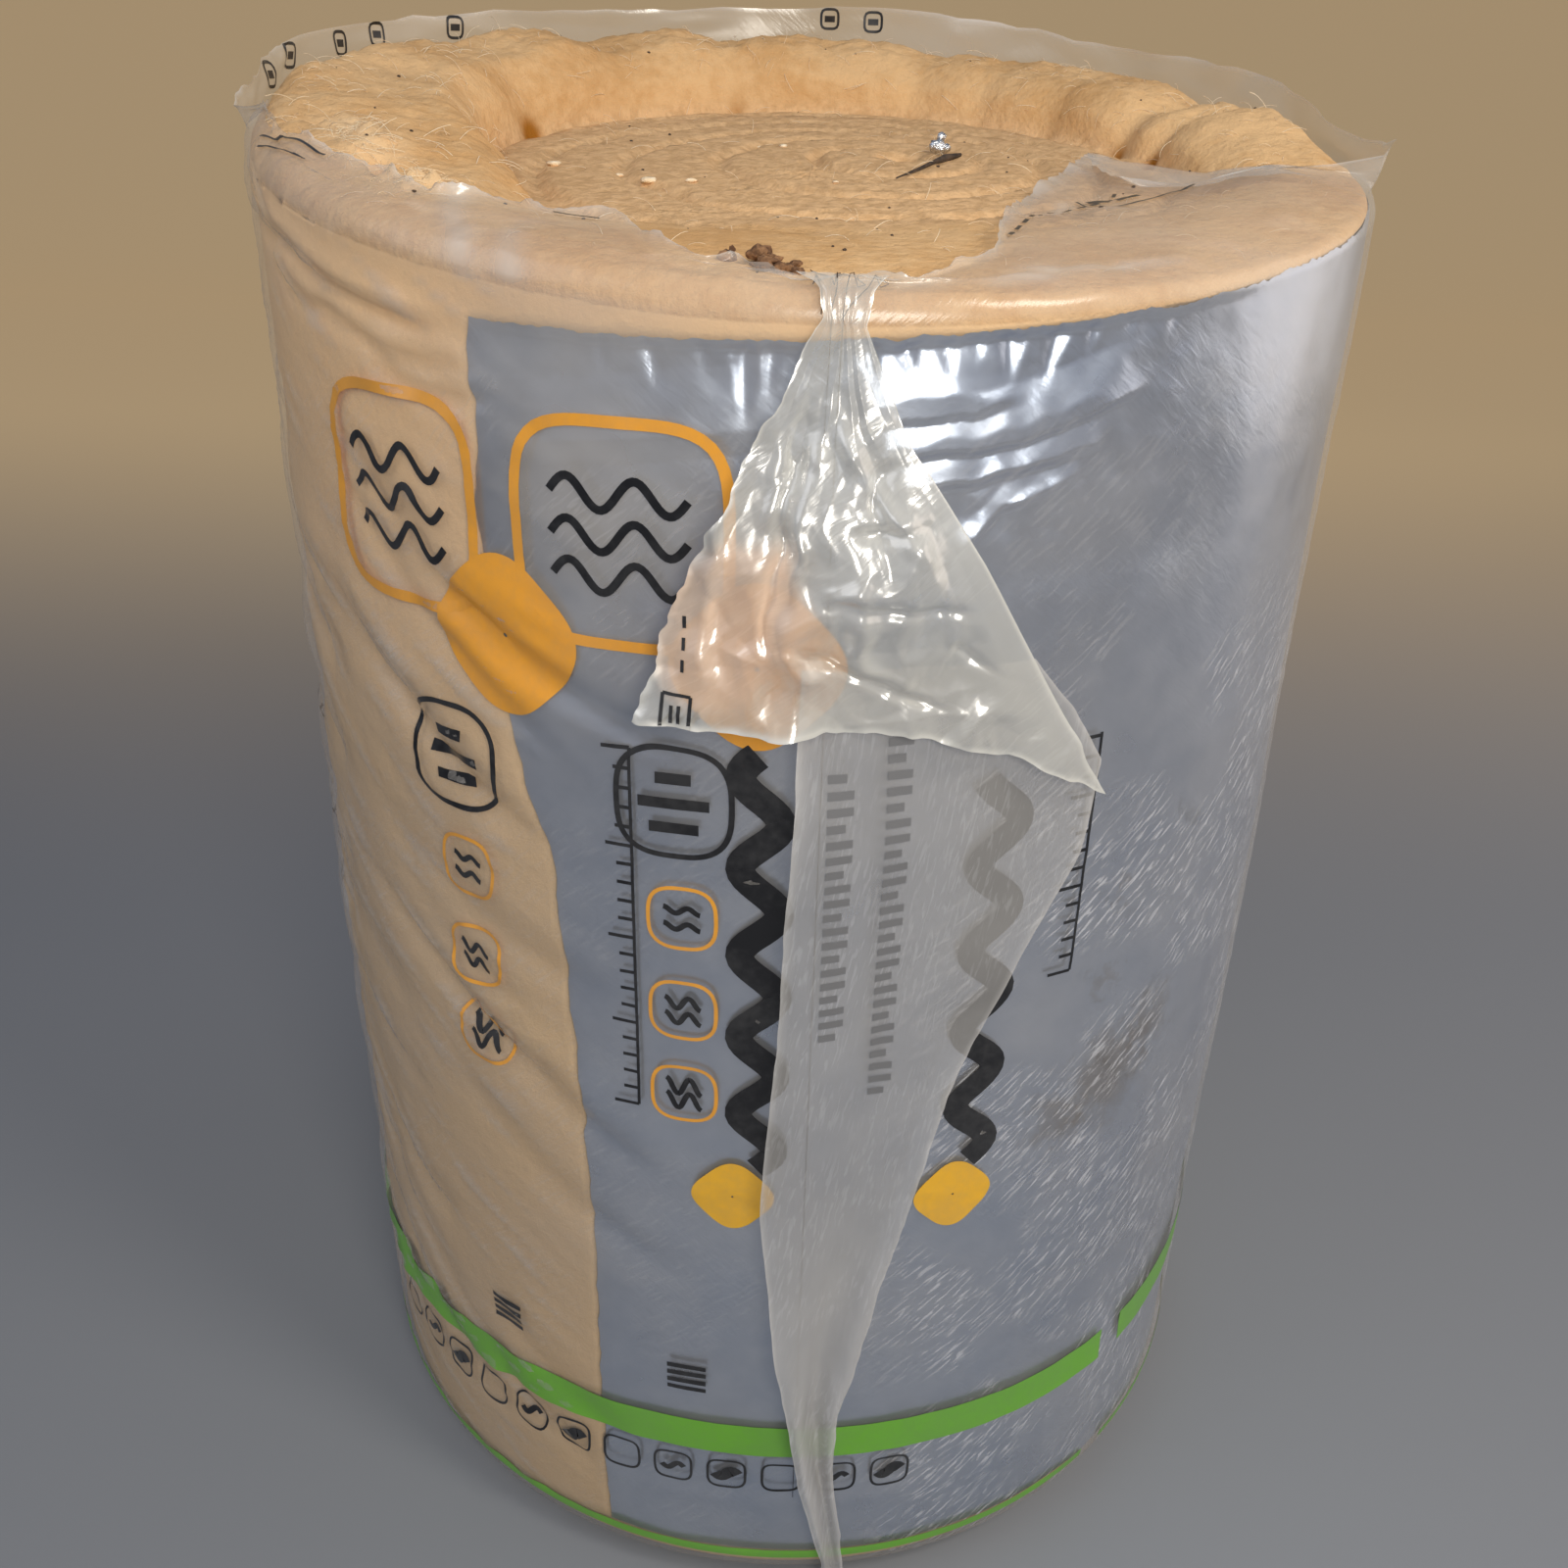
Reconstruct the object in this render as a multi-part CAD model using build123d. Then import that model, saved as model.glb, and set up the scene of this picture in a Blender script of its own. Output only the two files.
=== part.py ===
from build123d import *
import os
from math import cos, pi, radians, sin, sqrt, tan

# A glass-wool strip wound into a standing roll, with its foil facing and its torn film sleeve.
# Millimetres. The origin is the middle of the base on the floor, and the front faces -Y.

# Wound wool: the strip stands on edge, and its last turn has slipped up into a rim
roll_radius = 221.0
strip_width = 600.0
last_turn_width = 46.0
core_rise = 46.0
rim_front_lift = 6.0
rim_back_lift = 31.0
rim_side_drop = 18.0
rim_outer_round = 14.0
rim_inner_round = 7.0
base_round = 24.0
base_pad_radius = 150.0

# Turns that show on both ends
strip_pitch = 31.5
turn_groove_width = 6.0
turn_groove_depth = 4.0
eye_radius = 9.0
eye_depth = 30.0
eye_offset = 60.0
eye_bearing = 50.0

# Foil facing, bonded to the last turn from the strip's end at the front round to the back left
foil_wall = 0.6
foil_gap = 0.3
foil_front_drop = 13.0
foil_back_drop = 26.0
foil_side_rise = 22.0
foil_foot_height = 32.0
foil_hidden_end = 150.0

# Film sleeve: tucked in under the base, folded in over the front, standing as a collar behind
film_wall = 0.8
film_gap = 0.3
film_floor_gap = 0.2
film_tuck_width = 50.0
collar_stand = 12.0
collar_front = -30.0

# Torn flap of the same film, hanging down the front from a gathered waist
flap_gap = 1.0
flap_pleat_depth = 3.4
flap_pleat_width = 13.0
waist_x = 9.0
waist_radius = 7.0
waist_height = 36.0

core_radius = roll_radius - last_turn_width
core_front_height = strip_width - core_rise / 2
core_back_height = strip_width + core_rise / 2
rim_front_height = core_front_height + rim_front_lift
rim_back_height = core_back_height + rim_back_lift
foil_front_height = rim_front_height - foil_front_drop
foil_back_height = rim_back_height - foil_back_drop
foil_inside = foil_gap
foil_outside = foil_inside + foil_wall
film_inside = foil_outside + film_gap
film_outside = film_inside + film_wall
film_radius = roll_radius + film_outside
base_lift = film_floor_gap + film_wall + film_gap
tall = 1.3 * rim_back_height
wide = 3.0 * roll_radius

# Where the strip ends on the front of the roll, as degrees round from the front and a share
# of the front rim's height
strip_end = [
    (-20.5, -0.02), (-20.6, 0.266), (-20.8, 0.408), (-23.1, 0.657), (-28.1, 0.782), (-28.2, 1.24),
]

# Torn inner edge of the folded-in film from the left rim to the right rim, seen from above,
# in shares of the sleeve's radius
torn_edge = [
    (-0.830, -0.143), (-0.650, -0.108), (-0.574, -0.161), (-0.457, -0.247), (-0.345, -0.269),
    (-0.278, -0.413), (-0.188, -0.565), (-0.081, -0.673), (0.0, -0.758), (0.112, -0.753),
    (0.179, -0.691), (0.247, -0.574), (0.305, -0.448), (0.323, -0.278), (0.395, -0.063),
    (0.448, 0.112), (0.538, 0.341), (0.619, 0.502), (0.614, 0.305), (0.717, 0.135),
]

# Outline of the flap's crumpled upper part, measured as the strip's end is
flap_upper = [
    (1.0, 0.990), (-4.3, 0.921), (-9.6, 0.851), (-12.6, 0.777), (-6.5, 0.772), (4.7, 0.760),
    (20.9, 0.746), (27.6, 0.714), (20.0, 0.799), (13.9, 0.870), (7.9, 0.931), (4.0, 0.986),
]

# Outline of the plain tail that hangs out of it, measured the same way
flap_tail = [
    (0.6, 0.796), (-0.5, 0.640), (-1.5, 0.491), (-2.0, 0.422), (-0.5, 0.293), (2.5, 0.158),
    (5.4, 0.051), (5.6, 0.014), (8.2, 0.014), (7.7, 0.051), (6.2, 0.158), (6.0, 0.223),
    (8.6, 0.300), (12.4, 0.400), (15.7, 0.504), (18.9, 0.564), (23.0, 0.624), (26.7, 0.676),
    (27.8, 0.734), (20.9, 0.796),
]


def tilted_plane(front, back, side_drop):
    """Plane over the roll through a front and a back height, falling to the right by side_drop."""
    slope_y = (back - front) / (2 * roll_radius)
    slope_x = side_drop / (2 * roll_radius)
    middle = (front + back) / 2
    return Plane(origin=(0, 0, middle), x_dir=(1, 0, -slope_x), z_dir=(slope_x, -slope_y, 1))


rim_plane = tilted_plane(rim_front_height, rim_back_height, rim_side_drop)
core_plane = tilted_plane(core_front_height, core_back_height, 0)
foil_plane = tilted_plane(foil_front_height, foil_back_height, -foil_side_rise)


def below(plane):
    """Everything under a plane, as one large block."""
    return plane.location * Pos(0, 0, -tall) * Box(2 * wide, 2 * wide, 2 * tall)


def tube(inner_radius, outer_radius):
    """Upright round wall, from the floor to well over the roll."""
    return Pos(0, 0, tall / 2) * (Cylinder(outer_radius, tall) - Cylinder(inner_radius, tall))


def bevel(rounding):
    """Length of a 45 degree bevel that lies against a rounded edge of this radius."""
    return rounding * (2 - sqrt(2))


def drum(grow, foot):
    """The wound strip grown outwards, with its slanting top and its bevelled base edge."""
    body = Pos(0, 0, tall / 2 + foot) * Cylinder(roll_radius + grow, tall)
    body &= Pos(0, 0, grow) * below(rim_plane)
    return chamfer(body.faces().sort_by(Axis.Z)[0].edges(), bevel(base_round + grow))


def top_edge(body):
    return body.faces().sort_by(Axis.Z)[-1].edges()


def soften(body, rounding):
    """Round the top edge in three flats: a bevel against the round, then its own two edges."""
    body = chamfer(top_edge(body), bevel(rounding))
    flat = body.faces().sort_by(Axis.Z)[-2]
    loops = flat.edges().filter_by(lambda edge: edge.length > roll_radius)
    return chamfer(loops, rounding * (tan(pi / 8) - tan(pi / 16)))


def winding(grow, foot):
    """Form that a taut sheet takes over the drum, with a bevel over its rounded rim."""
    body = drum(grow, foot)
    return chamfer(top_edge(body), bevel(rim_outer_round + grow))


def layer(inside, outside, outer_foot=base_lift, inner_foot=base_lift):
    """Shell between two grown forms of the winding."""
    return winding(outside, outer_foot) - winding(inside, inner_foot)


def front_point(degrees, radius=roll_radius):
    """Sideways place of a point on the front of the roll, that many degrees round."""
    return radius * sin(radians(degrees))


def front_prism(points, near, far):
    """Outline on the front of the roll, in degrees and height shares, driven through in Y."""
    corners = [(front_point(turn), rim_front_height * share) for turn, share in points]
    face = make_face(Polyline(*corners, close=True).edges())
    return Pos(0, far, 0) * extrude(Plane.XZ * face, far - near)


def half_turn_groove(radius):
    """Half a turn of the V groove between two turns of the strip, about its own centre."""
    half = turn_groove_width / 2
    over = turn_groove_depth / 4
    spread = half * (1 + over / turn_groove_depth)
    corners = [(radius - spread, over), (radius + spread, over), (radius, -turn_groove_depth)]
    section = make_face(Polyline(*corners, close=True).edges())
    return revolve(Plane.XZ * section, Axis.Z, 180)


def turn_cutters(last_radius):
    """The winding eye and the spiral between the turns, as cutters in the XY plane.

    The eye has slipped aside, so the turns are tighter on its side than on the far side.
    """
    turns = core_radius / strip_pitch
    near_step = (core_radius - eye_offset) / turns
    far_step = (core_radius + eye_offset) / turns
    cutters = [Pos(eye_offset, 0, 0) * Cylinder(eye_radius, 2 * eye_depth)]
    reach = 0
    while reach < last_radius:
        start = len(cutters) / 2
        stop = start + 0.5
        on_near_side = len(cutters) % 2 == 0
        near = eye_offset + near_step * (start if on_near_side else stop)
        far = eye_offset - far_step * (stop if on_near_side else start)
        turn = Rot(0, 0, 0 if on_near_side else 180)
        cutters.append(Pos((near + far) / 2, 0, 0) * turn * half_turn_groove((near - far) / 2))
        reach = max(near + near_step / 2, far_step / 2 - far) + turn_groove_width
    return [Rot(0, 0, eye_bearing) * cutter for cutter in cutters]


def bare_side():
    """Region left of the strip's end, round to the hidden end of the facing at the back."""
    edge = [(front_point(turn), rim_front_height * share) for turn, share in strip_end]
    corners = [(-wide, edge[0][1]), *edge, (-wide, edge[-1][1])]
    face = make_face(Polyline(*corners, close=True).edges())
    return Pos(0, foil_hidden_end, 0) * extrude(Plane.XZ * face, wide)


def make_wool():
    body = soften(drum(0, base_lift), rim_outer_round)
    body -= rim_plane.location * Cylinder(core_radius, tall) - below(core_plane)
    upper = body.edges().filter_by(lambda edge: edge.center().Z > strip_width / 2)
    pocket_rim = upper.sort_by(lambda edge: abs(edge.length - 2 * pi * core_radius))[0]
    body = fillet(pocket_rim, rim_inner_round)
    body += Pos(0, 0, base_lift / 2) * Cylinder(base_pad_radius, base_lift)
    bare_turn = tube(roll_radius, roll_radius + foil_outside) & bare_side() & below(foil_plane)
    body += bare_turn - Pos(0, 0, foil_foot_height - tall) * Box(wide, wide, 2 * tall)
    for cutter in turn_cutters(core_radius):
        body -= core_plane.location * cutter
    for cutter in turn_cutters(base_pad_radius):
        body -= mirror(cutter, about=Plane.XY)
    return body


def make_foil():
    sheet = layer(foil_inside, foil_outside) & below(foil_plane)
    sheet -= bare_side()
    return sheet - Pos(0, 0, foil_foot_height - tall) * Box(wide, wide, 2 * tall)


def make_sleeve():
    tuck_radius = film_radius - film_tuck_width
    sleeve = layer(film_inside, film_outside, film_floor_gap, film_floor_gap + film_wall)
    sleeve -= Cylinder(tuck_radius, strip_width)
    edge = [(film_radius * right, film_radius * back) for right, back in torn_edge]
    behind = [(wide, collar_front), (wide, wide), (-wide, wide), (-wide, collar_front)]
    opening = make_face(Polyline(*edge, *behind, close=True).edges())
    cut_height = rim_front_height - 3 * rim_outer_round
    sleeve -= Pos(0, 0, cut_height) * extrude(opening, tall)
    collar = tube(film_radius - film_wall, film_radius)
    collar &= Pos(0, 0, film_outside + collar_stand) * below(rim_plane)
    collar &= Pos(0, collar_front + wide, cut_height + tall) * Box(2 * wide, 2 * wide, 2 * tall)
    return sleeve + collar


def make_flap():
    inner = film_radius + flap_gap
    first = radians(flap_upper[3][0] - 2)
    last = radians(flap_upper[7][0] + 2)
    count = round((last - first) * inner / flap_pleat_width)
    inside = []
    outside = []
    for step in range(count + 1):
        turn = first + (last - first) * step / count
        radius = inner + flap_pleat_depth * (step % 2)
        inside.append((radius * sin(turn), -radius * cos(turn)))
        outside.append(((radius + film_wall) * sin(turn), -(radius + film_wall) * cos(turn)))
    pleats = make_face(Polyline(*inside, *reversed(outside), close=True).edges())
    upper = extrude(pleats, tall) & front_prism(flap_upper, -wide, 0)
    tail = tube(inner, inner + film_wall) & front_prism(flap_tail, -wide, 0)
    knot_height = rim_front_height - waist_height / 2
    knot = Pos(waist_x, -film_radius, knot_height) * Cylinder(waist_radius, waist_height)
    knot = chamfer(knot.edges(), waist_radius / 2) - winding(film_inside, 0)
    return upper + tail + knot


parts = {
    "wool_roll": make_wool(),
    "foil_facing": make_foil(),
    "film_wrap": make_sleeve() + make_flap(),
}

os.makedirs("parts", exist_ok=True)
for name, part in parts.items():
    export_step(part, f"parts/{name}.step")
    print(name, len(part.solids()), "solid", round(part.volume), "mm3", part.bounding_box())
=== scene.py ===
import math
from itertools import product

import bmesh
import bpy
import numpy as np
from mathutils import Matrix, Vector
from mathutils.bvhtree import BVHTree


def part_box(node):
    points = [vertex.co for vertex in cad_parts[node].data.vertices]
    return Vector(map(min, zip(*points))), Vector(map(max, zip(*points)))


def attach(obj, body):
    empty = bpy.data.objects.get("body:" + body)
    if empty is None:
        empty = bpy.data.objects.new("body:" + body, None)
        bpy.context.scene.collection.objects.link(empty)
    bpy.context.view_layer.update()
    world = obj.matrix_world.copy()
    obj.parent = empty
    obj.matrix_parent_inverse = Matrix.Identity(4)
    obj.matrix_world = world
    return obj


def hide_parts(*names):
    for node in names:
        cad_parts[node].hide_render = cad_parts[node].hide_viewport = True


# A standing roll of foil-faced glass wool in its torn film sleeve. Metres; the front faces -Y.
# Turn is the angle round from the front in degrees, positive to the right.

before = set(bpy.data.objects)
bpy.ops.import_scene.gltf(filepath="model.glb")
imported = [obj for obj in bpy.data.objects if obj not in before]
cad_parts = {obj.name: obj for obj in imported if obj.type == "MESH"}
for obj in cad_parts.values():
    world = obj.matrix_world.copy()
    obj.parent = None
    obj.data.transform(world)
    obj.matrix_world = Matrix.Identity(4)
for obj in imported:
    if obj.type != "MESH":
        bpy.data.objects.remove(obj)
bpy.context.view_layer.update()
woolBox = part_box("wool_roll")
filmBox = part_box("film_wrap")

rollForm = {
    "woolRadius": woolBox[1].x,
    "filmRadius": filmBox[1].x,
    "core": (0.600, 0.104, 0.0),           # height at the axis, rise to the back, rise to the right
    "rim": (0.6185, 0.1606, -0.0407),
    "foilTop": (0.5987, 0.1285, 0.032),
    "rimRound": [                          # turn and radius of the outer edge
        (-180, 0.014), (-115, 0.014), (-92, 0.008), (-60, 0.009), (-8, 0.009), (30, 0.005), (88, 0.005),
        (102, 0.014), (180, 0.014),
    ],
    "baseRound": 0.024,
    "filmStep": 0.001,                     # how much larger the film's roundings are than the wool's
}


# Fields of numbers: noise, folds and blends that the pieces share

def smooth(t):
    t = np.clip(t, 0, 1)
    return t * t * (3 - 2 * t)


def bell(gap, width):
    return np.exp(-(gap / width) ** 2)


def turnGap(a, b):
    return (a - b + 180) % 360 - 180


def readTable(table, place):
    # the value at a place, from rows of place and value
    return np.interp(place, *zip(*table))


def alongLine(x, y, start, end):
    # share of the way along a straight line, and how far off it
    (startX, startY), (endX, endY) = start, end
    length = math.hypot(endX - startX, endY - startY)
    along = ((x - startX) * (endX - startX) + (y - startY) * (endY - startY)) / length ** 2
    return along, ((y - startY) * (endX - startX) - (x - startX) * (endY - startY)) / length


def stepsAlong(first, second):
    # distance from the start at each corner of a path, from the steps between them
    return np.concatenate([[0], np.cumsum(np.hypot(first, second))])


def noise(x, y, z=0.0, seed=1):
    # smooth random field, about -1 to 1, with one bump per unit
    x, y, z = np.broadcast_arrays(np.asarray(x, float), y, z)
    cells = [np.floor(v).astype(np.int64) for v in (x, y, z)]
    parts = [v - c for v, c in zip((x, y, z), cells)]
    fades = [p ** 3 * (p * (p * 6 - 15) + 10) for p in parts]
    total = np.zeros(x.shape)
    for corner in product((0, 1), repeat=3):
        key = np.int64(seed * 7919 + 13)
        for cell, step, prime in zip(cells, corner, (73856093, 19349663, 83492791)):
            key = key ^ ((cell + step) * prime)
        key = (key ^ (key >> 13)) * 1274126177
        key = (key ^ (key >> 16)) & 0x3FFFFFFF
        value = np.zeros(x.shape)
        weight = np.ones(x.shape)
        for index, (part, fade, step) in enumerate(zip(parts, fades, corner)):
            slope = ((key >> (10 * index)) & 1023) / 511.5 - 1
            value += slope * (part - step)
            weight = weight * (fade if step else 1 - fade)
        total += weight * value
    return total * 1.5


def layeredNoise(x, y, z=0.0, layers=3, seed=1):
    total = 0
    for layer in range(layers):
        scale = 2 ** layer
        total = total + noise(x * scale, y * scale, np.asarray(z) * scale, seed + layer) / scale
    return total


def sharpFolds(x, y, folds=7, seed=1):
    # crinkled sheet: zigzag waves that cross each other at many angles
    chance = np.random.default_rng(seed)
    total = 0
    for fold in range(folds):
        angle = math.pi * (fold + chance.uniform(0, 0.8)) / folds
        wave = chance.uniform(0.6, 1.5)
        bend = 0.8 * noise(x * 0.4, y * 0.4, 3.7 * fold, seed + fold)
        phase = (x * math.cos(angle) + y * math.sin(angle)) * wave + bend + chance.uniform(0, 1)
        total = total + (np.abs(phase % 1 - 0.5) * 4 - 1) / wave
    return total / folds


def facets(x, y, seed=1):
    # crushed sheet: flat triangles between random heights, with crisp edges
    cells = 64
    heights = np.random.default_rng(seed).uniform(-1, 1, (cells, cells))
    x, y = np.broadcast_arrays(*(
        value + 0.45 * noise(x * 0.7, y * 0.7, layer, seed) for value, layer in ((x, 0), (y, 5))))
    column, row = np.floor(x).astype(int), np.floor(y).astype(int)
    u, v = x - column, y - row
    corner, up, right, far = (
        heights[(column + across) % cells, (row + above) % cells]
        for across, above in product((0, 1), repeat=2))
    lower = corner + (right - corner) * u + (far - right) * v
    upper = corner + (up - corner) * v + (far - up) * u
    return np.where(u > v, lower, upper)


def planeHeight(name, x, y):
    height, rise, side = rollForm[name]
    return height + rise * y + side * x


def around(turn, radius):
    angle = np.radians(turn)
    return radius * np.sin(angle), -radius * np.cos(angle)


def roundAt(turn):
    # radius of the rim's outer edge: soft in front and behind, crisp at the right
    return readTable(rollForm["rimRound"], turnGap(turn, 0))


def arcOf(turn):
    # distance round the film's surface from the front
    return np.radians(turn) * rollForm["filmRadius"]


def pathLength(points):
    # distance along the surface from the first row of a grid
    steps = np.linalg.norm(np.diff(points, axis=0), axis=-1)
    return np.concatenate([np.zeros_like(steps[:1]), np.cumsum(steps, axis=0)])


def columnTurns(runs):
    # one row of turns, closer together where the runs say so
    return np.concatenate([np.linspace(*run, endpoint=False) for run in runs])[None, :]


def closedUp(values, step=0.0):
    # the first column again after the last one, for the UV map of a closed grid
    return np.concatenate([values, values[:, :1] + step], axis=1)


# Meshes

def gridMesh(name, points, uv=None, closed=False, capFirst=False, capLast=False):
    # points is rows by columns by three; closed joins the last column to the first
    rows, columns = points.shape[:2]
    index = np.arange(rows * columns).reshape(rows, columns)
    uvIndex = np.arange(rows * (columns + closed)).reshape(rows, columns + closed)
    nextIndex = np.roll(index, -1, axis=1) if closed else index[:, 1:]
    ownIndex = index if closed else index[:, :-1]
    quads = np.stack([ownIndex[:-1], nextIndex[:-1], nextIndex[1:], ownIndex[1:]], axis=-1)
    uvQuads = np.stack(
        [uvIndex[:-1, :-1], uvIndex[:-1, 1:], uvIndex[1:, 1:], uvIndex[1:, :-1]], axis=-1)
    faces = quads.reshape(-1, 4).tolist()
    corners = uvQuads.reshape(-1).tolist()
    places = points.reshape(-1, 3).tolist()
    for wanted, row, flip in ((capFirst, 0, True), (capLast, rows - 1, False)):
        if not wanted:
            continue
        places.append(points[row].mean(axis=0).tolist())
        for column in range(columns):
            edge = [int(index[row, column]), int(nextIndex[row, column])]
            uvEdge = [int(uvIndex[row, column]), int(uvIndex[row, column + 1])] if closed else edge[:]
            if flip:
                edge.reverse()
                uvEdge.reverse()
            faces.append(edge + [len(places) - 1])
            corners += uvEdge + [uvEdge[0]]
    mesh = bpy.data.meshes.new(name)
    mesh.from_pydata(places, [], faces)
    if uv is not None:
        layer = mesh.uv_layers.new(name="UVMap")
        layer.data.foreach_set("uv", uv.reshape(-1, 2)[corners].astype(np.float32).ravel())
    mesh.polygons.foreach_set("use_smooth", [True] * len(mesh.polygons))
    mesh.update()
    return mesh


def tubeMesh(name, path, radii, sides=6):
    # a round stem along a path, thinner or thicker as radii say
    path, radii = np.asarray(path, float), np.asarray(radii, float)
    ahead = np.gradient(path, axis=0)
    ahead /= np.linalg.norm(ahead, axis=1)[:, None]
    across = np.cross(ahead, (0.12, 0.2, 0.97))
    across /= np.linalg.norm(across, axis=1)[:, None]
    lifted = np.cross(across, ahead)
    angle = np.linspace(0, 2 * np.pi, sides, endpoint=False)[None, :, None]
    rings = across[:, None] * np.cos(angle) - lifted[:, None] * np.sin(angle)
    points = path[:, None] + rings * radii[:, None, None]
    return gridMesh(name, points, closed=True, capFirst=True, capLast=True)


def joinMeshes(name, meshes, outwards=False):
    # outwards turns every face of a thin mark away from the roll's axis
    joined = bmesh.new()
    for mesh in meshes:
        joined.from_mesh(mesh)
        bpy.data.meshes.remove(mesh)
    joined.normal_update()
    for face in joined.faces:
        middle = face.calc_center_median()
        if outwards and face.normal.dot(Vector((middle.x, middle.y, 0.3))) < 0:
            face.normal_flip()
    result = bpy.data.meshes.new(name)
    joined.to_mesh(result)
    joined.free()
    return result


def addAttributes(mesh, **fields):
    for name, values in fields.items():
        filled = np.zeros(len(mesh.vertices), np.float32)
        filled[:values.size] = np.asarray(values, np.float32).ravel()
        mesh.attributes.new(name, "FLOAT", "POINT").data.foreach_set("value", filled)


def addPiece(name, mesh, material=None):
    piece = bpy.data.objects.new(name, mesh)
    bpy.context.scene.collection.objects.link(piece)
    if material:
        mesh.materials.append(material)
    return piece


def settle(piece, slot, *nodes):
    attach(piece, "root")
    if nodes:
        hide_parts(*nodes)
    triangles = sum(len(face.vertices) - 2 for face in piece.data.polygons)
    print("made", piece.name, triangles, "triangles")


def faceTree(*pieces):
    # the faces of some pieces, so that marks and crumbs can be laid on them
    vertices, faces = [], []
    for piece in pieces:
        start = len(vertices)
        vertices += [vertex.co[:] for vertex in piece.data.vertices]
        faces += [[start + index for index in face.vertices] for face in piece.data.polygons]
    return BVHTree.FromPolygons(vertices, faces)


def dropOn(tree, x, y, lift=0.0):
    place, *_ = tree.ray_cast(Vector((x, y, 1.0)), Vector((0, 0, -1)))
    return [x, y, (place.z if place else planeHeight("core", x, y)) + lift]


def pressOn(tree, turn, height, lift=0.0):
    x, y = around(turn, 1.0)
    place, *_ = tree.ray_cast(Vector((x * 0.4, y * 0.4, height)), Vector((-x, -y, 0)))
    radius = math.hypot(place.x, place.y) if place else rollForm["filmRadius"]
    return [x * (radius + lift), y * (radius + lift), height]


# Node trees, written as sums and products of wires

class Wire:
    def __init__(self, tree, socket):
        self.tree, self.socket = tree, socket

    def __add__(self, other):
        return mathNode(self.tree, "ADD", self, other)

    def __sub__(self, other):
        return mathNode(self.tree, "SUBTRACT", self, other)

    def __rsub__(self, other):
        return mathNode(self.tree, "SUBTRACT", other, self)

    def __mul__(self, other):
        return mathNode(self.tree, "MULTIPLY", self, other)

    def __truediv__(self, other):
        return mathNode(self.tree, "DIVIDE", self, other)

    def __pow__(self, other):
        return mathNode(self.tree, "POWER", self, other)


def plug(tree, socket, value):
    if isinstance(value, Wire):
        tree.links.new(value.socket, socket)
    elif value is not None:
        socket.default_value = value


def addNode(tree, kind, inputs=None, **settings):
    node = tree.nodes.new(kind)
    for key, value in settings.items():
        setattr(node, key, value)
    for key, value in (inputs or {}).items():
        plug(tree, node.inputs[key], value)
    return node


def wire(node, output=0):
    return Wire(node.id_data, node.outputs[output])


def mathNode(tree, operation, *values):
    node = addNode(tree, "ShaderNodeMath", operation=operation)
    for socket, value in zip(node.inputs, values):
        plug(tree, socket, value)
    return wire(node)


def ramp(value, low, high, toLow=0.0, toHigh=1.0):
    # smooth step of a wire from one range to another
    inputs = {"Value": value, "From Min": low, "From Max": high, "To Min": toLow, "To Max": toHigh}
    return wire(addNode(value.tree, "ShaderNodeMapRange", inputs, interpolation_type="SMOOTHSTEP"))


def mixColour(tree, share, first, second):
    node = addNode(tree, "ShaderNodeMix", data_type="RGBA")
    plug(tree, node.inputs["Factor"], share)
    plug(tree, node.inputs[6], first)
    plug(tree, node.inputs[7], second)
    return wire(node, 2)


def noiseWire(tree, where, scale, detail=3.0, rough=0.5, warp=0.0):
    inputs = {"Vector": where, "Scale": scale, "Detail": detail, "Roughness": rough, "Distortion": warp}
    return wire(addNode(tree, "ShaderNodeTexNoise", inputs), "Fac")


def turned(tree, where, turn):
    inputs = {"Vector": where, "Rotation": (0, 0, math.radians(turn))}
    return wire(addNode(tree, "ShaderNodeMapping", inputs))


def axesOf(tree, place):
    split = addNode(tree, "ShaderNodeSeparateXYZ", {0: place})
    return [wire(split, axis) for axis in range(3)]


def attribute(tree, name):
    return wire(addNode(tree, "ShaderNodeAttribute", attribute_name=name), "Fac")


def objectPlace(tree):
    return wire(addNode(tree, "ShaderNodeTexCoord"), "Object")


def sheetPlace(tree):
    return wire(addNode(tree, "ShaderNodeUVMap", uv_map="UVMap"))


def newGroup(name, inputs, outputs):
    tree = bpy.data.node_groups.new(name, "ShaderNodeTree")
    for label, kind, value in inputs:
        socket = tree.interface.new_socket(label, in_out="INPUT", socket_type="NodeSocket" + kind)
        if value is not None:
            socket.default_value = value
    for label, kind in outputs:
        tree.interface.new_socket(label, in_out="OUTPUT", socket_type="NodeSocket" + kind)
    source = tree.nodes.new("NodeGroupInput")
    sink = tree.nodes.new("NodeGroupOutput")
    wires = {socket.name: Wire(tree, socket) for socket in source.outputs if socket.name}
    return tree, wires, sink


def groupWires(tree, group, inputs):
    # the group's outputs by name, with its inputs plugged in
    node = addNode(tree, "ShaderNodeGroup", node_tree=group)
    for key, value in inputs.items():
        plug(tree, node.inputs[key], value)
    return {socket.name: Wire(tree, socket) for socket in node.outputs}


def newMaterial(name, constants):
    # constants are set on the shader's own sockets
    material = bpy.data.materials.new(name)
    material.use_nodes = True
    tree = material.node_tree
    shader = next(node for node in tree.nodes if node.type == "BSDF_PRINCIPLED")
    for key, value in constants.items():
        shader.inputs[key].default_value = value
    return material, tree, shader


def bumpInto(tree, shader, height, strength, distance):
    inputs = {"Height": height, "Strength": strength, "Distance": distance}
    bump = addNode(tree, "ShaderNodeBump", inputs)
    tree.links.new(bump.outputs["Normal"], shader.inputs["Normal"])


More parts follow.
